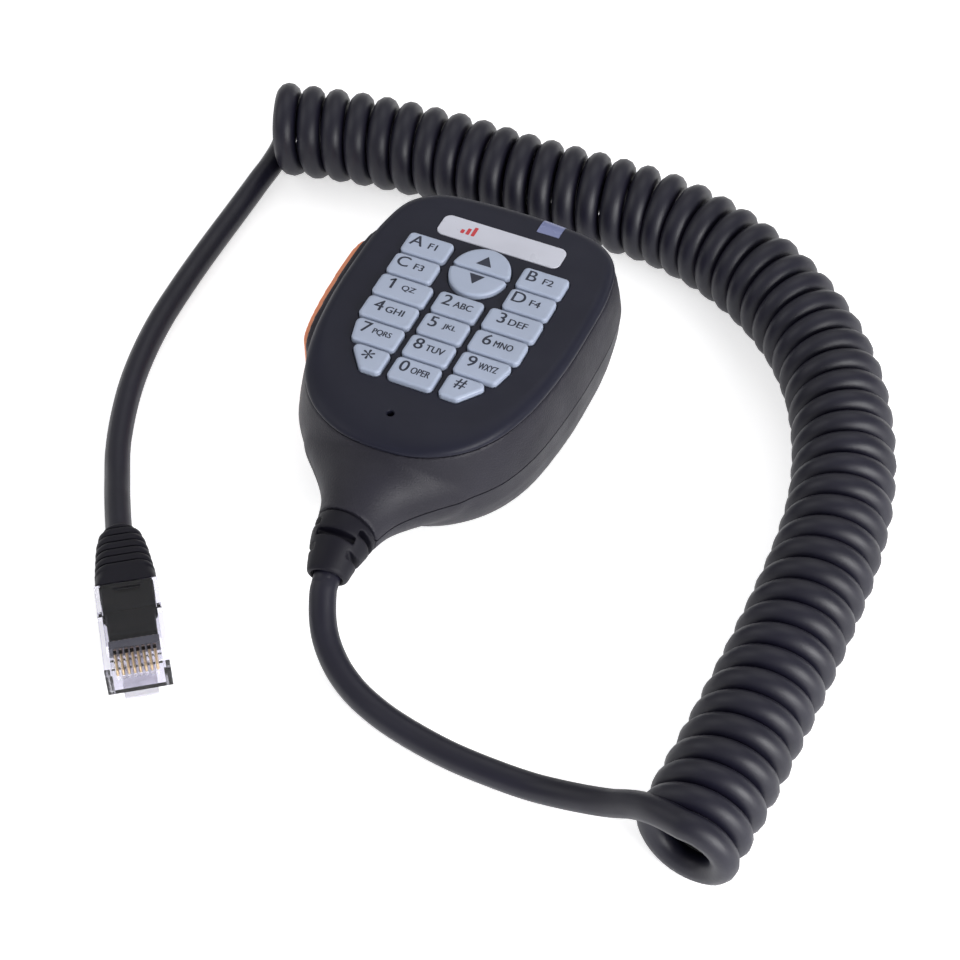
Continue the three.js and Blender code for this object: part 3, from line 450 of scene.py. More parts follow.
def plastic(name, base, roughness, shade=0.12, grain=0.0, grain_size=0.00035, specular=0.5):
    """Moulded plastic or rubber: faint unevenness in colour and gloss, and a grain if it has one."""
    material, tree, shader = material_nodes(name, base, roughness)
    shader.inputs["Specular IOR Level"].default_value = specular
    patches = noise_at(tree, 0.012, 3)
    dark = [channel * (1 - shade) for channel in base]
    light = [channel * (1 + shade) for channel in base]
    tree.links.new(ramp(tree, patches, [(0.3, dark), (0.7, light)]), shader.inputs["Base Color"])
    gloss = noise_at(tree, 0.005, 4)
    tree.links.new(spread(tree, gloss, roughness - 0.04, roughness + 0.05), shader.inputs["Roughness"])
    fine = noise_at(tree, grain_size, 2)
    relief_from(tree, shader, fine, max(grain, 0.000002))
    return material


def metal(name, base, roughness, size=0.0006, stretch=(1, 1, 8)):
    """Plated metal with faint drawn marks."""
    material, tree, shader = material_nodes(name, base, roughness, 1.0)
    marks = noise_at(tree, size, 3, stretch)
    dark = [channel * 0.85 for channel in base]
    tree.links.new(ramp(tree, marks, [(0.3, dark), (0.7, base)]), shader.inputs["Base Color"])
    tree.links.new(spread(tree, marks, roughness - 0.05, roughness + 0.08), shader.inputs["Roughness"])
    relief_from(tree, shader, marks, 0.000004)
    return material


def clear_plastic(name, tint, clearness):
    """Clear polycarbonate, with slight haze where it was moulded. Less clearness makes it milky."""
    material, tree, shader = material_nodes(name, tint, 0.06)
    shader.inputs["Transmission Weight"].default_value = clearness
    shader.inputs["Specular IOR Level"].default_value = 0.12
    shader.inputs["IOR"].default_value = 1.4
    haze = noise_at(tree, 0.002, 3)
    tree.links.new(spread(tree, haze, 0.02, 0.12), shader.inputs["Roughness"])
    relief_from(tree, shader, haze, 0.00001)
    return material


CASE_BLACK = plastic("case_black", (0.018, 0.017, 0.025), 0.5, grain=0.00008, specular=0.25)
PANEL_BLACK = plastic("panel_black", (0.0115, 0.012, 0.023), 0.42, shade=0.08, grain=0.000006, specular=0.2)
KEY_BLUE = plastic("key_pale_blue", (0.36, 0.41, 0.53), 0.42, shade=0.05, grain=0.000006)
LEGEND_INK = plastic("legend_ink", (0.012, 0.016, 0.035), 0.5, shade=0.2)
LABEL_PEARL = plastic("label_pearl", (0.54, 0.55, 0.63), 0.3, shade=0.06, grain=0.000004)
LABEL_RED = plastic("label_red", (0.50, 0.03, 0.04), 0.4, shade=0.1)
LAMP_LAVENDER = plastic("lamp_lavender", (0.17, 0.195, 0.36), 0.25, shade=0.1)
PTT_ORANGE = plastic("talk_bar_orange", (0.86, 0.30, 0.15), 0.42, shade=0.08, grain=0.00001)
RUBBER = plastic("soft_rubber", (0.0035, 0.003, 0.008), 0.55, grain=0.00001, grain_size=0.0005, specular=0.25)
CORD_BLACK = plastic("cord_black", (0.0055, 0.005, 0.014), 0.46, grain=0.000012, specular=0.42)
BOARD_GREEN = plastic("board_green", (0.015, 0.10, 0.045), 0.4)
NYLON = plastic("nylon_white", (0.62, 0.61, 0.57), 0.45)
COMB_GREY = plastic("comb_grey", (0.14, 0.145, 0.165), 0.35)
WIRE_COPPER = plastic("wire_copper", (0.62, 0.47, 0.40), 0.4, shade=0.25)
TONGUE_BLACK = plastic("tongue_black", (0.0015, 0.0015, 0.002), 0.5, specular=0.1)
SWITCH_BLACK = plastic("switch_black", (0.02, 0.02, 0.022), 0.45)
STEEL = metal("plated_steel", (0.62, 0.62, 0.64), 0.32)
CHROMED = metal("bright_steel", (0.75, 0.75, 0.77), 0.2)
GOLD = metal("gold_plating", (0.86, 0.66, 0.42), 0.3, size=0.0003)
CLEAR = clear_plastic("clear_polycarbonate", (0.83, 0.82, 0.89), 1.0)
MILKY = clear_plastic("milky_polycarbonate", (0.92, 0.91, 0.97), 0.65)


# ---------------------------------------------------------------- camera and light
CAMERA_ELEVATION = math.radians(49)
CAMERA_AZIMUTH = math.radians(24.26)
CAMERA_DISTANCE = 0.45035
CAMERA_LENS = 85.95
CAMERA_TARGET = MIC + Vector((12.28, -16.29, 0)) * MM


def camera():
    """Looks down on the microphone from its cord's end, slightly from the right."""
    data = bpy.data.cameras.new("camera")
    data.lens = CAMERA_LENS
    data.sensor_width = 36
    view = bpy.data.objects.new("camera", data)
    bpy.context.collection.objects.link(view)
    flat = math.cos(CAMERA_ELEVATION)
    back = Vector((
        math.sin(CAMERA_AZIMUTH) * flat, -math.cos(CAMERA_AZIMUTH) * flat, math.sin(CAMERA_ELEVATION),
    ))
    view.location = CAMERA_TARGET + back * CAMERA_DISTANCE
    view.rotation_mode = "QUATERNION"
    view.rotation_quaternion = (-back).to_track_quat("-Z", "Y")
    bpy.context.scene.camera = view


def softbox(name, spot, size, power):
    """A square soft light that faces the middle of the scene."""
    data = bpy.data.lights.new(name, "AREA")
    data.shape = "SQUARE"
    data.size = size
    data.energy = power
    lamp = bpy.data.objects.new(name, data)
    bpy.context.collection.objects.link(lamp)
    lamp.location = Vector(spot)
    lamp.rotation_mode = "QUATERNION"
    lamp.rotation_quaternion = (-Vector(spot)).to_track_quat("-Z", "Y")


def backdrop():
    """A white studio: bright all round at the floor's level, and dimmer overhead."""
    world = bpy.data.worlds.new("studio")
    bpy.context.scene.world = world
    world.use_nodes = True
    tree = world.node_tree
    direction = tree.nodes.new("ShaderNodeTexCoord")
    height = tree.nodes.new("ShaderNodeSeparateXYZ")
    tree.links.new(direction.outputs["Generated"], height.inputs["Vector"])
    shade = ramp(tree, height.outputs["Z"], [(0, (1, 1, 1)), (0.2, (0.42, 0.42, 0.42))])
    tree.links.new(shade, tree.nodes["Background"].inputs["Color"])


def paper_floor():
    """A wide sheet of pale paper that glows slightly, so that its shadows stay light."""
    mesh = bpy.data.meshes.new("floor")
    reach = 30.0
    corners = [(-reach, -reach, 0), (reach, -reach, 0), (reach, reach, 0), (-reach, reach, 0)]
    mesh.from_pydata(corners, [], [(0, 1, 2, 3)])
    floor = bpy.data.objects.new("floor", mesh)
    bpy.context.collection.objects.link(floor)
    paper, tree, shader = material_nodes("pale_paper", (0.88, 0.88, 0.89), 0.8)
    shader.inputs["Specular IOR Level"].default_value = 0.1
    shader.inputs["Emission Color"].default_value = (1, 1, 1, 1)
    shader.inputs["Emission Strength"].default_value = 0.62
    relief_from(tree, shader, noise_at(tree, 0.002, 3), 0.00002)
    mesh.materials.append(paper)


def studio():
    """White surroundings, three softboxes and the paper floor."""
    bpy.context.scene.view_settings.view_transform = "Standard"
    backdrop()
    softbox("left_softbox", (-0.55, -0.15, 0.55), 0.5, 1.0)
    softbox("right_softbox", (0.7, -0.3, 0.28), 0.45, 7.0)
    softbox("top_softbox", (0.0, 0.45, 0.8), 0.7, 1.6)
    paper_floor()


# ---------------------------------------------------------------- cord
def coil_points():
    """The helix round the coil's axis, from the plug's end (heading +Y, at the bottom) to the far end."""
    axis = through(COIL_AXIS, False, 40)
    lengths = [0.0]
    for a, b in zip(axis, axis[1:]):
        lengths.append(lengths[-1] + (b - a).length)
    per_turn = 36
    total = int(COIL_TURNS * per_turn)
    helix = []
    span = 0
    for i in range(total + 1):
        reach = lengths[-1] * i / total
        while span < len(lengths) - 2 and lengths[span + 1] < reach:
            span += 1
        run = axis[span + 1] - axis[span]
        centre = axis[span] + run * ((reach - lengths[span]) / run.length)
        left = Vector((-run.y, run.x)).normalized()
        angle = 2 * math.pi * i / per_turn
        side = left * (COIL_RADIUS * math.sin(angle))
        height = COIL_HEIGHT - COIL_RADIUS * math.cos(angle)
        helix.append(Vector((centre.x + side.x, centre.y + side.y, height)))
    return helix


def cord():
    """The whole cord in one length: tail, coil and tail."""
    helix = coil_points()
    first = through([*MIC_TAIL, helix[-1]], False, 6)
    last = through([helix[0], *PLUG_TAIL], False, 6)
    route = [*first, *reversed(helix[1:-1]), *last]
    data = bpy.data.curves.new("curly_cord", "CURVE")
    data.dimensions = "3D"
    data.bevel_depth = CORD_DIAMETER / 2 * MM
    data.bevel_resolution = 4
    data.use_fill_caps = True
    spline = data.splines.new("POLY")
    spline.points.add(len(route) - 1)
    for point, spot in zip(spline.points, route):
        point.co = (*place(spot), 1)
    spline.use_smooth = True
    data.materials.append(CORD_BLACK)
    lead = bpy.data.objects.new("curly_cord", data)
    bpy.context.collection.objects.link(lead)
    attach(lead, BODY)
    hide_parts("cord_mic_tail", "cord_curl", "cord_plug_tail")
    return lead


# ---------------------------------------------------------------- casing
FACE = outline(HALF_FACE)
EDGE = outline(HALF_EDGE)
SPLIT_LINE = outline(HALF_SPLIT)
LOWER = outline(HALF_LOWER)
BACK = outline(HALF_BACK)


def casing_walls():
    """The casing from the back to the face's foot, without its neck."""
    levels = [
        (0, BACK), (0.4, mixed(LOWER, BACK, 0.65)), (1.4, mixed(LOWER, BACK, 0.3)), (3, LOWER),
        (6, mixed(SPLIT_LINE, LOWER, 0.5)), (9, mixed(SPLIT_LINE, LOWER, 0.2)), (SPLIT, SPLIT_LINE),
        (18, mixed(SPLIT_LINE, EDGE, 0.28)), (21.5, mixed(SPLIT_LINE, EDGE, 0.62)), (SHELL_TOP, EDGE),
    ]
    return loft("casing_form", [level(points, z) for z, points in levels])


def neck_form():
    """The neck as a horn along -Y, of half ellipses above and below the split line."""
    sections = through(NECK_SECTIONS, False, 4)
    rings = []
    for y, wide, up, down in sections:
        turns = [2 * math.pi * i / 72 for i in range(72)]
        rings.append([
            Vector((-wide * math.cos(a), y, SPLIT + (up if math.sin(a) > 0 else down) * math.sin(a)))
            for a in turns
        ])
    return loft("neck_form", rings)


def soften(piece, weight_at, passes):
    """Smooths the piece's surface by a weight that depends on the place, in the microphone's frame."""
    group = piece.vertex_groups.new(name="soft")
    sorted_points = {}
    for vertex in piece.data.vertices:
        weight = round(weight_at((vertex.co - MIC) / MM), 1)
        sorted_points.setdefault(weight, []).append(vertex.index)
    for weight, indices in sorted_points.items():
        group.add(indices, weight, "REPLACE")
    step = piece.modifiers.new("soften", "SMOOTH")
    step.factor = 0.5
    step.iterations = passes
    step.vertex_group = "soft"
    settle(piece)
    piece.vertex_groups.clear()


def ease(value, start, end):
    """0 at start and before, 1 at end and after, smooth between."""
    t = min(1, max(0, (value - start) / (end - start)))
    return t * t * (3 - 2 * t)


def casing_form():
    """The whole outer form, remeshed so that the neck and the pad flow into the walls."""
    form = casing_walls()
    pad = slab("pad", through(PTT_PAD, False, 6), 6.5, 22.4)
    weld(form, neck_form(), pad)
    round_off(form, 0.45, 1)

    def near_neck(spot):
        return ease(spot.y, -26, -32) * (1 - ease(spot.y, -44.5, -47.5)) * (1 - ease(spot.z, 22.6, 23.8))

    def near_pad(spot):
        return 1 - ease(spot.x, -24.6, -23.4)

    def off_neck_end(spot):
        return 1 - ease(-spot.y, 47, 48)

    soften(form, near_neck, 40)
    soften(form, near_pad, 3)
    soften(form, off_neck_end, 2)
    return form


def neck_bore(name):
    """The stepped hole through the neck that holds the strain relief."""
    bore = rod_y(name, 0, SPLIT, NECK_END - 1, -45.5, 4.3)
    weld(bore, rod_y("flange_seat", 0, SPLIT, -45.5, -43.3, 5.3), rod_y("cord_way", 0, SPLIT, -43.6, -30, 4))
    return bore


def block(name, low, high):
    """A square block between two corners, used for cutting."""
    return slab(name, rounded_rect(low[:2], high[:2], 0.01, 1), low[2], high[2])


def screw_spots():
    """Centres of the four casing screws, in the microphone's frame."""
    spots = []
    for i in range(1, 5):
        low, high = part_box(f"case_screw_{i}")
        spots.append(((low + high) / 2 - MIC) / MM)
    return spots


def front_shell(shell):
    """The upper shell, cut from the outer form that is handed in."""
    carve(
        shell,
        block("under", (-60, -70, -5), (60, 60, SPLIT + SEAM / 2)),
        loft("cavity", [
            level(inset(SPLIT_LINE, WALL), SPLIT - 1), level(inset(mixed(SPLIT_LINE, EDGE, 0.28), WALL), 18),
            level(inset(mixed(SPLIT_LINE, EDGE, 0.7), WALL), SHELL_TOP - 1.5),
        ]),
        slab("window", inset(EDGE, 4.6), 20, 30),
        neck_bore("bore"),
        slab("talk_slot", [Vector(p) for p in PTT_SLOT], 10, PTT_HIGH + 0.3),
    )
    boss_foot, boss_head = SPLIT + SEAM, SHELL_TOP - 1.4
    weld(shell, *[post("boss", x, y, boss_foot, boss_head, BOSS_RADIUS) for x, y, _ in screw_spots()])
    carve(shell, *[post("hole", x, y, 10, 20.5, SCREW_HOLE) for x, y, _ in screw_spots()])
    shell.name = "front_shell_skin"
    polish(shell, CASE_BLACK, ["front_shell"])


def screw_pads(form):
    """The four pads that the casing screws bear on, cut to the casing's own form."""
    pads = [post("pad", x, y, WALL - 0.5, SPLIT - SEAM, PAD_RADIUS) for x, y, _ in screw_spots()]
    weld(pads[0], *pads[1:])
    combine(pads[0], [duplicate(form, "pad_limit")], "INTERSECT")
    return pads[0]


def rear_shell(shell):
    """The lower shell, cut from the outer form that is handed in."""
    pads = screw_pads(shell)
    recess = rounded_rect((-11, -20), (11, 14), 9, 10)
    cavity = loft("cavity", [
        level(inset(BACK, WALL), WALL), level(inset(LOWER, WALL), WALL + 2),
        level(inset(mixed(SPLIT_LINE, LOWER, 0.35), WALL), 8), level(inset(SPLIT_LINE, WALL), SPLIT + SEAM),
    ])
    carve(cavity, slab("recess_wall", inset(recess, -WALL), -1, RECESS_DEPTH + WALL))
    carve(
        shell,
        block("above", (-60, -70, SPLIT - SEAM / 2), (60, 60, 50)),
        cavity,
        neck_bore("bore"),
        slab("recess", recess, -1, RECESS_DEPTH),
    )
    weld(shell, pads, post("stud_boss", 0, STUD_Y, RECESS_DEPTH, 13, 3.6))
    carve(
        shell,
        *[post("hole", x, y, -1, 20, SCREW_HOLE) for x, y, _ in screw_spots()],
        *[post("head_seat", x, y, -1, 6, SCREW_SEAT) for x, y, _ in screw_spots()],
        post("stud_hole", 0, STUD_Y, -1, 11.5, 1.7),
        slab("talk_slot", [Vector(p) for p in PTT_SLOT], PTT_LOW - 0.3, 20),
    )
    shell.name = "rear_shell_skin"
    polish(shell, CASE_BLACK, ["rear_shell"])


def casing():
    """Both shells, from one outer form, so that they meet all round."""
    form = casing_form()
    rear_shell(duplicate(form, "rear_form"))
    front_shell(form)


# ---------------------------------------------------------------- face
# Corners of the lamp window and of the label plate, and the play round what sits in the panel.
LAMP_LOW, LAMP_HIGH = (5.2, 26.9), (10.0, 34.0)
LABEL_LOW, LABEL_HIGH = (-13.3, 18.4), (13.3, 24.3)
LABEL_CORNER = 1.6
LAMP_PLAY = 0.08
KEY_PLAY = 0.15


def panel_form(name):
    """The face plate: flat on top, rolling over to the casing's edge."""
    rings = [level(inset(EDGE, 0.2), PANEL_FOOT), level(inset(EDGE, 0.04), PANEL_FOOT + 0.12)]
    rise_start = PANEL_FOOT + 0.3
    steps = 12
    for i in range(steps + 1):
        angle = math.pi / 2 * i / steps
        share = 1 - math.cos(angle) ** 0.9
        height = math.sin(angle) ** 0.95
        rings.append(level(mixed(EDGE, FACE, share), rise_start + (PANEL_TOP - rise_start) * height))
    return loft(name, rings)


def face_panel():
    """The panel with its openings for the keys, the label, the lamp and the sound."""
    panel = panel_form("face_panel_skin")
    holes = [slab("key_hole", inset(key_outline(name), -KEY_PLAY), 20, PANEL_TOP, 0.08) for name in KEY_NAMES]
    lamp_left, lamp_foot = LAMP_LOW[0] - LAMP_PLAY, LAMP_LOW[1] - LAMP_PLAY
    label = rounded_rect(LABEL_LOW, LABEL_HIGH, LABEL_CORNER)
    carve(
        panel,
        slab("pocket", inset(FACE, 1.2), PANEL_FOOT - 1, PANEL_TOP - 1.8),
        slab("label_seat", label, PANEL_TOP - 0.6, PANEL_TOP, 0.06),
        block("lamp_seat", (lamp_left, lamp_foot, 20), (LAMP_HIGH[0] + LAMP_PLAY, LAMP_HIGH[1], 30)),
        slab("sound_hole", circle(0, MIC_HOLE_Y, 0.75), 20, PANEL_TOP, 0.08),
    )
    carve(panel, *holes)
    polish(panel, PANEL_BLACK, ["face_panel"])


def label_plate():
    """The pale plate, with three plain signal bars printed on it."""
    points = rounded_rect(LABEL_LOW, LABEL_HIGH, LABEL_CORNER)
    plate = loft("label_plate_skin", [
        level(points, PANEL_TOP - 0.5), level(points, PANEL_TOP), level(inset(points, 0.05), PANEL_TOP + 0.1),
        level(inset(points, 0.2), PANEL_TOP + 0.15),
    ])
    polish(plate, LABEL_PEARL, ["label_plate"])
    for i in range(3):
        x = -8.6 + 1.15 * i
        points = rounded_rect((x, 20.2), (x + 0.75, 21.3 + 0.75 * i), 0.2, 4)
        bar = slab(f"signal_mark_{i + 1}", points, PANEL_TOP + 0.1, PANEL_TOP + 0.18)
        bar.data.materials.append(LABEL_RED)
        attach(bar, BODY)


def lamp_window():
    """The lamp's window has the panel's own rolled edge."""
    window = panel_form("lamp_window_skin")
    keep = block("lamp_block", (*LAMP_LOW, 20), (*LAMP_HIGH, 30))
    combine(window, [keep], "INTERSECT")
    polish(window, LAMP_LAVENDER, ["led_window"])


# ---------------------------------------------------------------- keys
DIGITS = "1234567890"
KEY_NAMES = [f"key_{digit}" for digit in DIGITS] + [
    f"key_{word}" for word in ("star", "hash", "a", "b", "c", "d", "up", "down")
]
LEGENDS = {f"key_{digit}": digit for digit in DIGITS} | {
    "key_star": "*", "key_hash": "#", "key_a": "A", "key_b": "B", "key_c": "C", "key_d": "D",
}
SMALL_LEGENDS = {
    "key_2": "ABC", "key_3": "DEF", "key_4": "GHI", "key_5": "JKL", "key_6": "MNO", "key_7": "PQRS",
    "key_8": "TUV", "key_9": "WXYZ", "key_0": "OPER", "key_1": "QZ",
    "key_a": "F1", "key_b": "F2", "key_c": "F3", "key_d": "F4",
}
# How far a key's lower corner is cut back, on the left when negative.
TAPERS = {"key_7": -1.1, "key_9": 1.1, "key_star": -3.4, "key_hash": 3.4}
# The round pair of arrows: its middle, its half width and half height, and half the gap between them.
DISC_Y, DISC_RX, DISC_RY, DISC_SPLIT = 10.85, 6.05, 6.75, 0.3
KEY_CORNER = 1.05
KEY_EDGE = 0.6
# Each mark is printed twice, this far to either side, which thickens its strokes.
STROKE_SPREAD = 0.05


def key_box(name):
    """A key's outline box in the microphone's frame."""
    low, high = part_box(name)
    return (low - MIC) / MM, (high - MIC) / MM


def key_outline(name):
    """A key's outline, with its lower corner cut back where it tapers."""
    if name in ("key_up", "key_down"):
        return disc_outline(1 if name == "key_up" else -1)
    low, high = key_box(name)
    taper = TAPERS.get(name, 0)
    waist = (low.y + 3 * high.y) / 4
    left = [Vector((low.x, high.y)), Vector((low.x, low.y))]
    right = [Vector((high.x, low.y)), Vector((high.x, high.y))]
    if taper > 0:
        right = [Vector((high.x - taper, low.y)), Vector((high.x, waist)), Vector((high.x, high.y))]
    if taper < 0:
        left = [Vector((low.x, high.y)), Vector((low.x, waist)), Vector((low.x - taper, low.y))]
    return rounded(left + right, KEY_CORNER)


def disc_outline(side):
    """One half of the round pair of arrows."""
    start = math.asin((DISC_SPLIT + 0.5) / DISC_RY)
    steps = 40
    points = []
    for i in range(steps + 1):
        angle = start + (math.pi - 2 * start) * i / steps
        points.append(Vector((DISC_RX * math.cos(angle), DISC_RY * math.sin(angle))))
    points += [Vector((-DISC_RX + 0.7, DISC_SPLIT)), Vector((DISC_RX - 0.7, DISC_SPLIT))]
    placed = [Vector((p.x, DISC_Y + side * p.y)) for p in points]
    return placed if side > 0 else placed[::-1]


def glyph(text, x, y, height, widest=10.0):
    """Flat lettering on a key's top, centred at a point, as high as given and no wider than given."""
    data = bpy.data.curves.new("glyph", "FONT")
    data.body = text
    data.extrude = 0.02
    data.resolution_u = 6
    words = bpy.data.objects.new("glyph", data)
    mesh = bpy.data.meshes.new_from_object(words)
    bpy.data.objects.remove(words)
    spots = [vertex.co for vertex in mesh.vertices]
    low = Vector((min(spot[axis] for spot in spots) for axis in range(3)))
    high = Vector((max(spot[axis] for spot in spots) for axis in range(3)))
    tall = height / (high.y - low.y)
    across = min(tall, widest / (high.x - low.x))
    middle = (low + high) / 2
    for spot in spots:
        away = spot - middle
        spot.xyz = place((x + away.x * across, y + away.y * tall, KEY_TOP + 0.005 + away.z))
    return mesh


def arrow(side):
    """The arrow on one half of the round pair."""
    y = DISC_Y + (3.1 if side > 0 else -2.4)
    corners = [
        Vector((-1.55, y - 1.3 * side)), Vector((1.55, y - 1.3 * side)), Vector((0, y + 1.3 * side)),
    ]
    if side < 0:
        corners.reverse()
    return flat_mark(corners)


def key_marks(name):
    """The meshes of everything that is printed on a key."""
    if name in ("key_up", "key_down"):
        return [arrow(1 if name == "key_up" else -1)]
    low, high = key_box(name)
    x, y, _ = (low + high) / 2
    if name == "key_star":
        return [glyph("*", x - 0.2, y + 0.8, 2.6)]
    if name == "key_hash":
        return [glyph("#", x - 0.6, y + 0.9, 2.6)]
    marks = [
        glyph(LEGENDS[name], x - 2.4, y + 0.75, 2.8),
        glyph(SMALL_LEGENDS[name], x + 1.1, y + 0.3, 1.65, 3.8),
    ]
    if name == "key_1":
        marks.append(one_flag(x - 2.4, y + 0.75 + 1.4))
    return marks


def one_flag(x, y):
    """The slanting stroke at the top of the figure one, which the plain lettering lacks."""
    corners = [Vector(spot) for spot in ((0.1, 0), (-0.1, 0), (-0.85, -0.55), (-0.85, -0.9), (0.1, -0.4))]
    return flat_mark([Vector((x, y)) + corner for corner in corners])


def flat_mark(corners):
    """The mesh of a thin printed shape on a key's top."""
    mark = slab("mark", corners, KEY_TOP - 0.02, KEY_TOP + 0.025)
    mesh = mark.data
    bpy.data.objects.remove(mark)
    return mesh


def key_cap(name):
    """A key with a rounded top edge and its printing."""
    points = key_outline(name)
    rings = [level(points, KEY_FOOT)]
    steps = 6
    for i in range(steps + 1):
        angle = math.pi / 2 * i / steps
        pull = KEY_EDGE * (1 - math.cos(angle))
        rings.append(level(inset(points, pull), KEY_TOP - KEY_EDGE * 0.8 * (1 - math.sin(angle))))
    rings.append(level(inset(points, KEY_EDGE + 0.15), KEY_TOP))
    cap = loft(f"{name}_cap", rings)
    polish(cap, KEY_BLUE, [name], f"{name}_cap")
    print_marks(cap, key_marks(name))


def print_marks(cap, marks):
    """Adds the marks to the cap's mesh, in the printing ink."""
    cap.data.materials.append(LEGEND_INK)
    work = bmesh.new()
    work.from_mesh(cap.data)
    plain = len(work.faces)
    for mark in marks:
        for side in (-1, 1):
            first = len(work.verts)
            work.from_mesh(mark)
            step = Vector((side * STROKE_SPREAD, 0, side * 0.004)) * MM
            bmesh.ops.translate(work, verts=list(work.verts)[first:], vec=step)
    work.faces.ensure_lookup_table()
    for face in work.faces[plain:]:
        face.material_index = 1
        face.smooth = False
    work.to_mesh(cap.data)
    work.free()


# ---------------------------------------------------------------- push-to-talk bar
def talk_bar():
    """The orange bar, with the knuckle it turns on and the arm that reaches in to the plunger."""
    points = [*through(PTT_OUTER, False, 6), *[Vector(point) for point in PTT_INNER]]
    bar = slab("talk_bar_skin", points, PTT_LOW, PTT_HIGH)
    weld(bar, post("knuckle", *PTT_PIVOT, PTT_LOW, PTT_HIGH, 1.9))
    carve(
        bar,
        block("under_arm", (-25, -2, PTT_LOW - 1), (-20, 3, PLUNGER_Z - 1.6)),
        post("pin_hole", *PTT_PIVOT, 0, 40, 0.9),
    )
    round_off(bar, 0.27, 4)
    polish(bar, PTT_ORANGE, ["ptt_bar"], "push_to_talk", angle=60)


# ---------------------------------------------------------------- strain relief
def sag(spot):
    """Where a point of the straight relief goes as the relief sags and leans with the cord."""
    reach = max(0, (NECK_END - spot.y) / RELIEF_BEND)
    lean_x = -2 * RELIEF_DRIFT * reach / RELIEF_BEND
    lean_z = 2 * RELIEF_DROP * reach / RELIEF_BEND
    return Vector((
        spot.x + RELIEF_DRIFT * reach**2,
        spot.y - spot.x * lean_x - (spot.z - SPLIT) * lean_z,
        spot.z - RELIEF_DROP * reach**2,
    ))


def round_section(y, radius, sides=72):
    """A circle about the neck's axis."""
    return [Vector((p.x, y, SPLIT + p.y)) for p in circle(0, 0, radius, sides)]


def relief_slots():
    """Blocks for the slots: two on each side, and one on top and one below."""
    half, reach, bottom, outside = 0.6, 4.2, 3.1, 8
    slots = []
    for side in (1, -1):
        near, far = sorted((side * bottom, side * outside))
        for y in SIDE_SLOTS:
            slots.append(block("slot", (near, y - half, SPLIT - reach), (far, y + half, SPLIT + reach)))
        low = (-3.7, TOP_SLOT - half, SPLIT + near)
        slots.append(block("slot", low, (3.7, TOP_SLOT + half, SPLIT + far)))
    return slots


def strain_relief():
    """The slotted rubber sleeve: made straight, then bent with the cord."""
    rings = [round_section(y, radius) for y, radius in through(RELIEF_OUTSIDE, False, 4)]
    flange = [
        (NECK_END - 0.3, RELIEF_STEM), (-45.3, RELIEF_STEM), (-45.3, RELIEF_FLANGE), (-43.6, RELIEF_FLANGE),
    ]
    rings += [round_section(y, radius) for y, radius in flange]
    relief = loft("strain_relief_skin", rings)
    cord_way = CORD_DIAMETER / 2 + 0.12
    carve(
        relief,
        rod_y("cord_way", 0, SPLIT, RELIEF_TIP - 1, -42, cord_way),
        rod_y("mouth", 0, SPLIT, RELIEF_TIP - 1, RELIEF_TIP + 0.7, cord_way + 0.3),
        *relief_slots(),
    )
    round_off(relief, 0.22, 2)
    for vertex in relief.data.vertices:
        vertex.co = place(sag((vertex.co - MIC) / MM))
    polish(relief, RUBBER, ["strain_relief"], angle=60)


# ---------------------------------------------------------------- modular plug
def box_ring(y, half_wide, half_deep, radius):
    """A rounded rectangle across the plug's axis."""
    points = rounded_rect((-half_wide, -half_deep), (half_wide, half_deep), radius)
    return [Vector((-p.x, y, p.y)) for p in points]


def plug_block(name, low, high):
    """A square block between two corners in the plug's frame."""
    ring = rounded_rect((low[0], low[2]), (high[0], high[2]), 0.01, 1)
    return loft(name, [[Vector((-p.x, y, p.y)) for p in ring] for y in (low[1], high[1])], plug_place)


def across_x(name, outline_yz, thickness):
    """A side outline, given as pairs of y and z, made as thick as given across x."""
    sides = (-thickness / 2, thickness / 2)
    return loft(name, [[Vector((x, y, z)) for y, z in outline_yz] for x in sides], plug_place)


def bevel(piece, width, angle=35):
    """Rounds the piece's sharp edges. The width is in millimetres."""
    step = piece.modifiers.new("worn_edges", "BEVEL")
    step.width = width * MM
    step.segments = 3
    step.limit_method = "ANGLE"
    step.angle_limit = math.radians(angle)
    settle(piece)


def plug_boot():
    """The boot swells from the cord to the housing, with fine grooves over its first part."""
    first, pitch = 1.0, 1.95
    widths = (3.2, 4.1, 4.6, 4.9, 5.1, 5.3, 5.5)
    rings = [box_ring(0, 2.75, 2.75, 2.7), box_ring(0.05, 2.95, 2.85, 2.8)]
    for i, wide in enumerate(widths):
        groove = first + pitch * i
        deep = 3.1 + 0.1 * i
        start = 0.35 if i == 0 else groove - pitch + 0.42
        for share, pull in ((0, 0.12), (0.15, 0.02), (0.5, -0.02), (0.85, 0.02), (1, 0.12)):
            y = start + (groove - start) * share
            rings.append(box_ring(y, wide + 0.2 * share - pull, deep - pull, 2.8))
        if i < len(widths) - 1:
            rings.append(box_ring(groove + 0.08, wide - 0.35, deep - 0.5, 2.4))
            rings.append(box_ring(groove + 0.34, wide - 0.25, deep - 0.5, 2.4))
    rings += [box_ring(BOOT_LENGTH - 0.1, 5.75, 3.4, 1.2), box_ring(BOOT_LENGTH, 5.6, 3.3, 1.1)]
    boot = loft("plug_boot_skin", rings, plug_place)
    polish(boot, RUBBER, ["plug_boot"], angle=50)


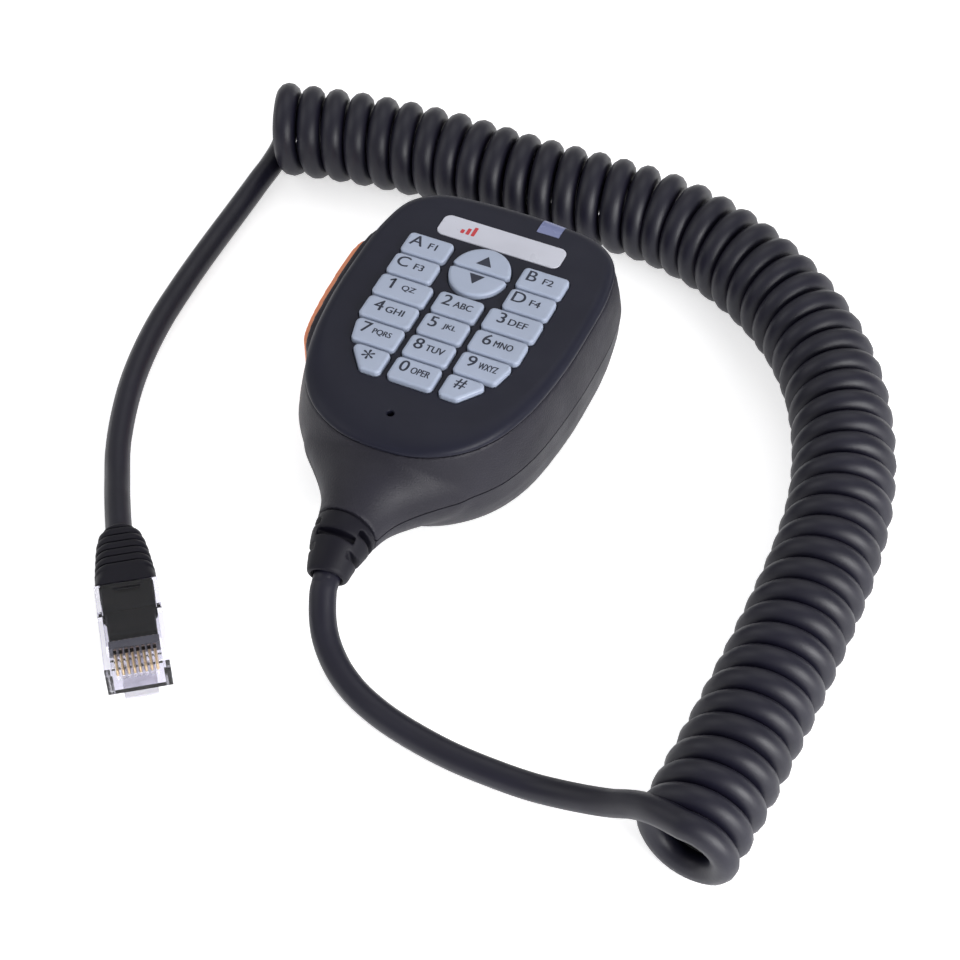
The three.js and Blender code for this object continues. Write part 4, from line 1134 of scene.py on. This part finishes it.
def plug_tongue():
    """The boot's tongue fills the housing's first part. Past it comes the cord's own flat jacket."""
    step = HOUSING_START + 6.2
    tongue = loft("plug_tongue_skin", [
        box_ring(HOUSING_START - 0.4, 4.85, 2.15, 0.6), box_ring(step - 0.4, 4.85, 2.15, 0.6),
        box_ring(step, 4.6, 1.95, 0.6), box_ring(step + 0.05, 4.5, 1.8, 0.8),
        box_ring(TONGUE_END - 0.2, 4.4, 1.7, 0.8), box_ring(TONGUE_END, 4.1, 1.5, 0.7),
    ], plug_place)
    weld(tongue, plug_block("ears", (-5.65, EAR_START, -0.7), (5.65, EAR_START + 0.9, 0.7)))
    polish(tongue, TONGUE_BLACK, ["plug_insert"])


def plug_comb():
    """The bar that holds the eight wires, and the wires that run from it to under the contacts."""
    start, end = TONGUE_END + 0.4, TONGUE_END + 2.2
    comb = plug_block("plug_comb_skin", (-4.6, start, -1.4), (4.6, end, 0.9))
    carve(comb, *[wire_run("wire_way", i, start - 1, end + 1, 0.36) for i in range(8)])
    polish(comb, COMB_GREY, ["plug_load_bar"])
    for i in range(8):
        wire = wire_run(f"plug_wire_{i + 1}", i, TONGUE_END - 0.3, NOSE - 1.2, 0.3)
        wire.data.shade_smooth()
        wire.data.materials.append(WIRE_COPPER)
        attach(wire, BODY)


def wire_x(i):
    """How far wire number i, counted from 0, lies from the plug's middle."""
    return (i - 3.5) * CONTACT_PITCH


def wire_run(name, i, start, end, radius):
    """A round rod along the plug's axis, where wire number i lies."""
    ring = [(wire_x(i) + p.x, p.y + WIRE_Z) for p in circle(0, 0, radius, 16)]
    return loft(name, [[Vector((x, y, z)) for x, z in ring] for y in (start, end)], plug_place)


def plug_housing():
    """The clear body: open towards the boot, with a slot for each contact and a groove over the grip."""
    half_wide, half_deep = HOUSING_WIDTH / 2, HOUSING_HEIGHT / 2
    start = HOUSING_START
    body = plug_block("plug_housing_skin", (-half_wide, start, -half_deep), (half_wide, NOSE, half_deep))
    bevel(body, 0.3)
    carve(
        body,
        plug_block("inside", (-5, start - 1, -2.3), (5, TONGUE_END + 2.8, 2.3)),
        plug_block("under_contacts", (-4.6, TONGUE_END + 2, -2.8), (4.6, NOSE - 0.8, 2.3)),
        plug_block("ear_windows", (-8, EAR_START - 0.2, -0.9), (8, EAR_START + 1.1, 0.9)),
        plug_block("grip_groove", (-2.5, start + 1.2, 2.75), (2.5, start + 1.7, 5)),
        *[
            plug_block("slot", (wire_x(i) - 0.33, NOSE - 4.3, 0.3), (wire_x(i) + 0.33, NOSE + 1, 5))
            for i in range(8)
        ],
    )
    polish(body, CLEAR, ["plug_housing"])


def plug_latch():
    """The spring latch: a wide root at the nose, narrowing to the lever that the finger presses."""
    root = -HOUSING_HEIGHT / 2 - 0.3
    side = [
        (NOSE - 0.6, root), (NOSE - 0.1, root - 1.2), (NOSE - 0.5, root - 2.1), (NOSE - 2, root - 2.4),
        (NOSE - 8.7, root - 2.6), (NOSE - 16.2, root - 2.9), (NOSE - 16.2, root - 2),
        (NOSE - 8.7, root - 1.7), (NOSE - 3, root - 1.3), (NOSE - 3, root),
    ]
    latch = across_x("plug_latch_skin", side, 6.2)
    low, waist = -9, NOSE - 8.1
    carve(
        latch,
        plug_block("beside", (1.7, NOSE - 20, low), (6, waist, 0)),
        plug_block("beside", (-6, NOSE - 20, low), (-1.7, waist, 0)),
    )
    bevel(latch, 0.15)
    polish(latch, MILKY, ["plug_latch"], "latch")


# ---------------------------------------------------------------- pieces kept as the CAD has them
KEPT = {
    RUBBER: ["keypad_mat", "mic_grommet"],
    BOARD_GREEN: ["main_pcb"],
    NYLON: ["status_led", "cord_connector", "ptt_plunger", "cable_clamp"],
    SWITCH_BLACK: ["ptt_switch"],
    STEEL: [
        "mic_capsule", "ptt_hinge_pin", "hanger_screw", "board_screw_1", "board_screw_2",
        *[f"case_screw_{i}" for i in range(1, 5)],
    ],
    CHROMED: ["hanger_stud"],
    CORD_BLACK: ["cord_inner"],
    GOLD: [f"plug_contact_{i}" for i in range(1, 9)],
}


def dress(node, material):
    """Gives a CAD piece its material, and a small rounding of its edges."""
    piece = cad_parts[node]
    piece.data.materials.clear()
    piece.data.materials.append(material)
    piece.data.shade_smooth()
    piece.modifiers.new("join_points", "WELD").merge_threshold = 0.001 * MM
    low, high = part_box(node)
    step = piece.modifiers.new("worn_edges", "BEVEL")
    step.width = min(0.12 * MM, min(high - low) / 12)
    step.segments = 2
    step.limit_method = "ANGLE"
    step.angle_limit = math.radians(38)
    step.harden_normals = True


# ---------------------------------------------------------------- the whole scene
camera()
studio()
lead = cord()
casing()
face_panel()
label_plate()
lamp_window()
for key_name in KEY_NAMES:
    key_cap(key_name)
talk_bar()
strain_relief()
plug_boot()
plug_tongue()
plug_comb()
plug_housing()
plug_latch()
for kept_material, kept_nodes in KEPT.items():
    for kept_node in kept_nodes:
        dress(kept_node, kept_material)
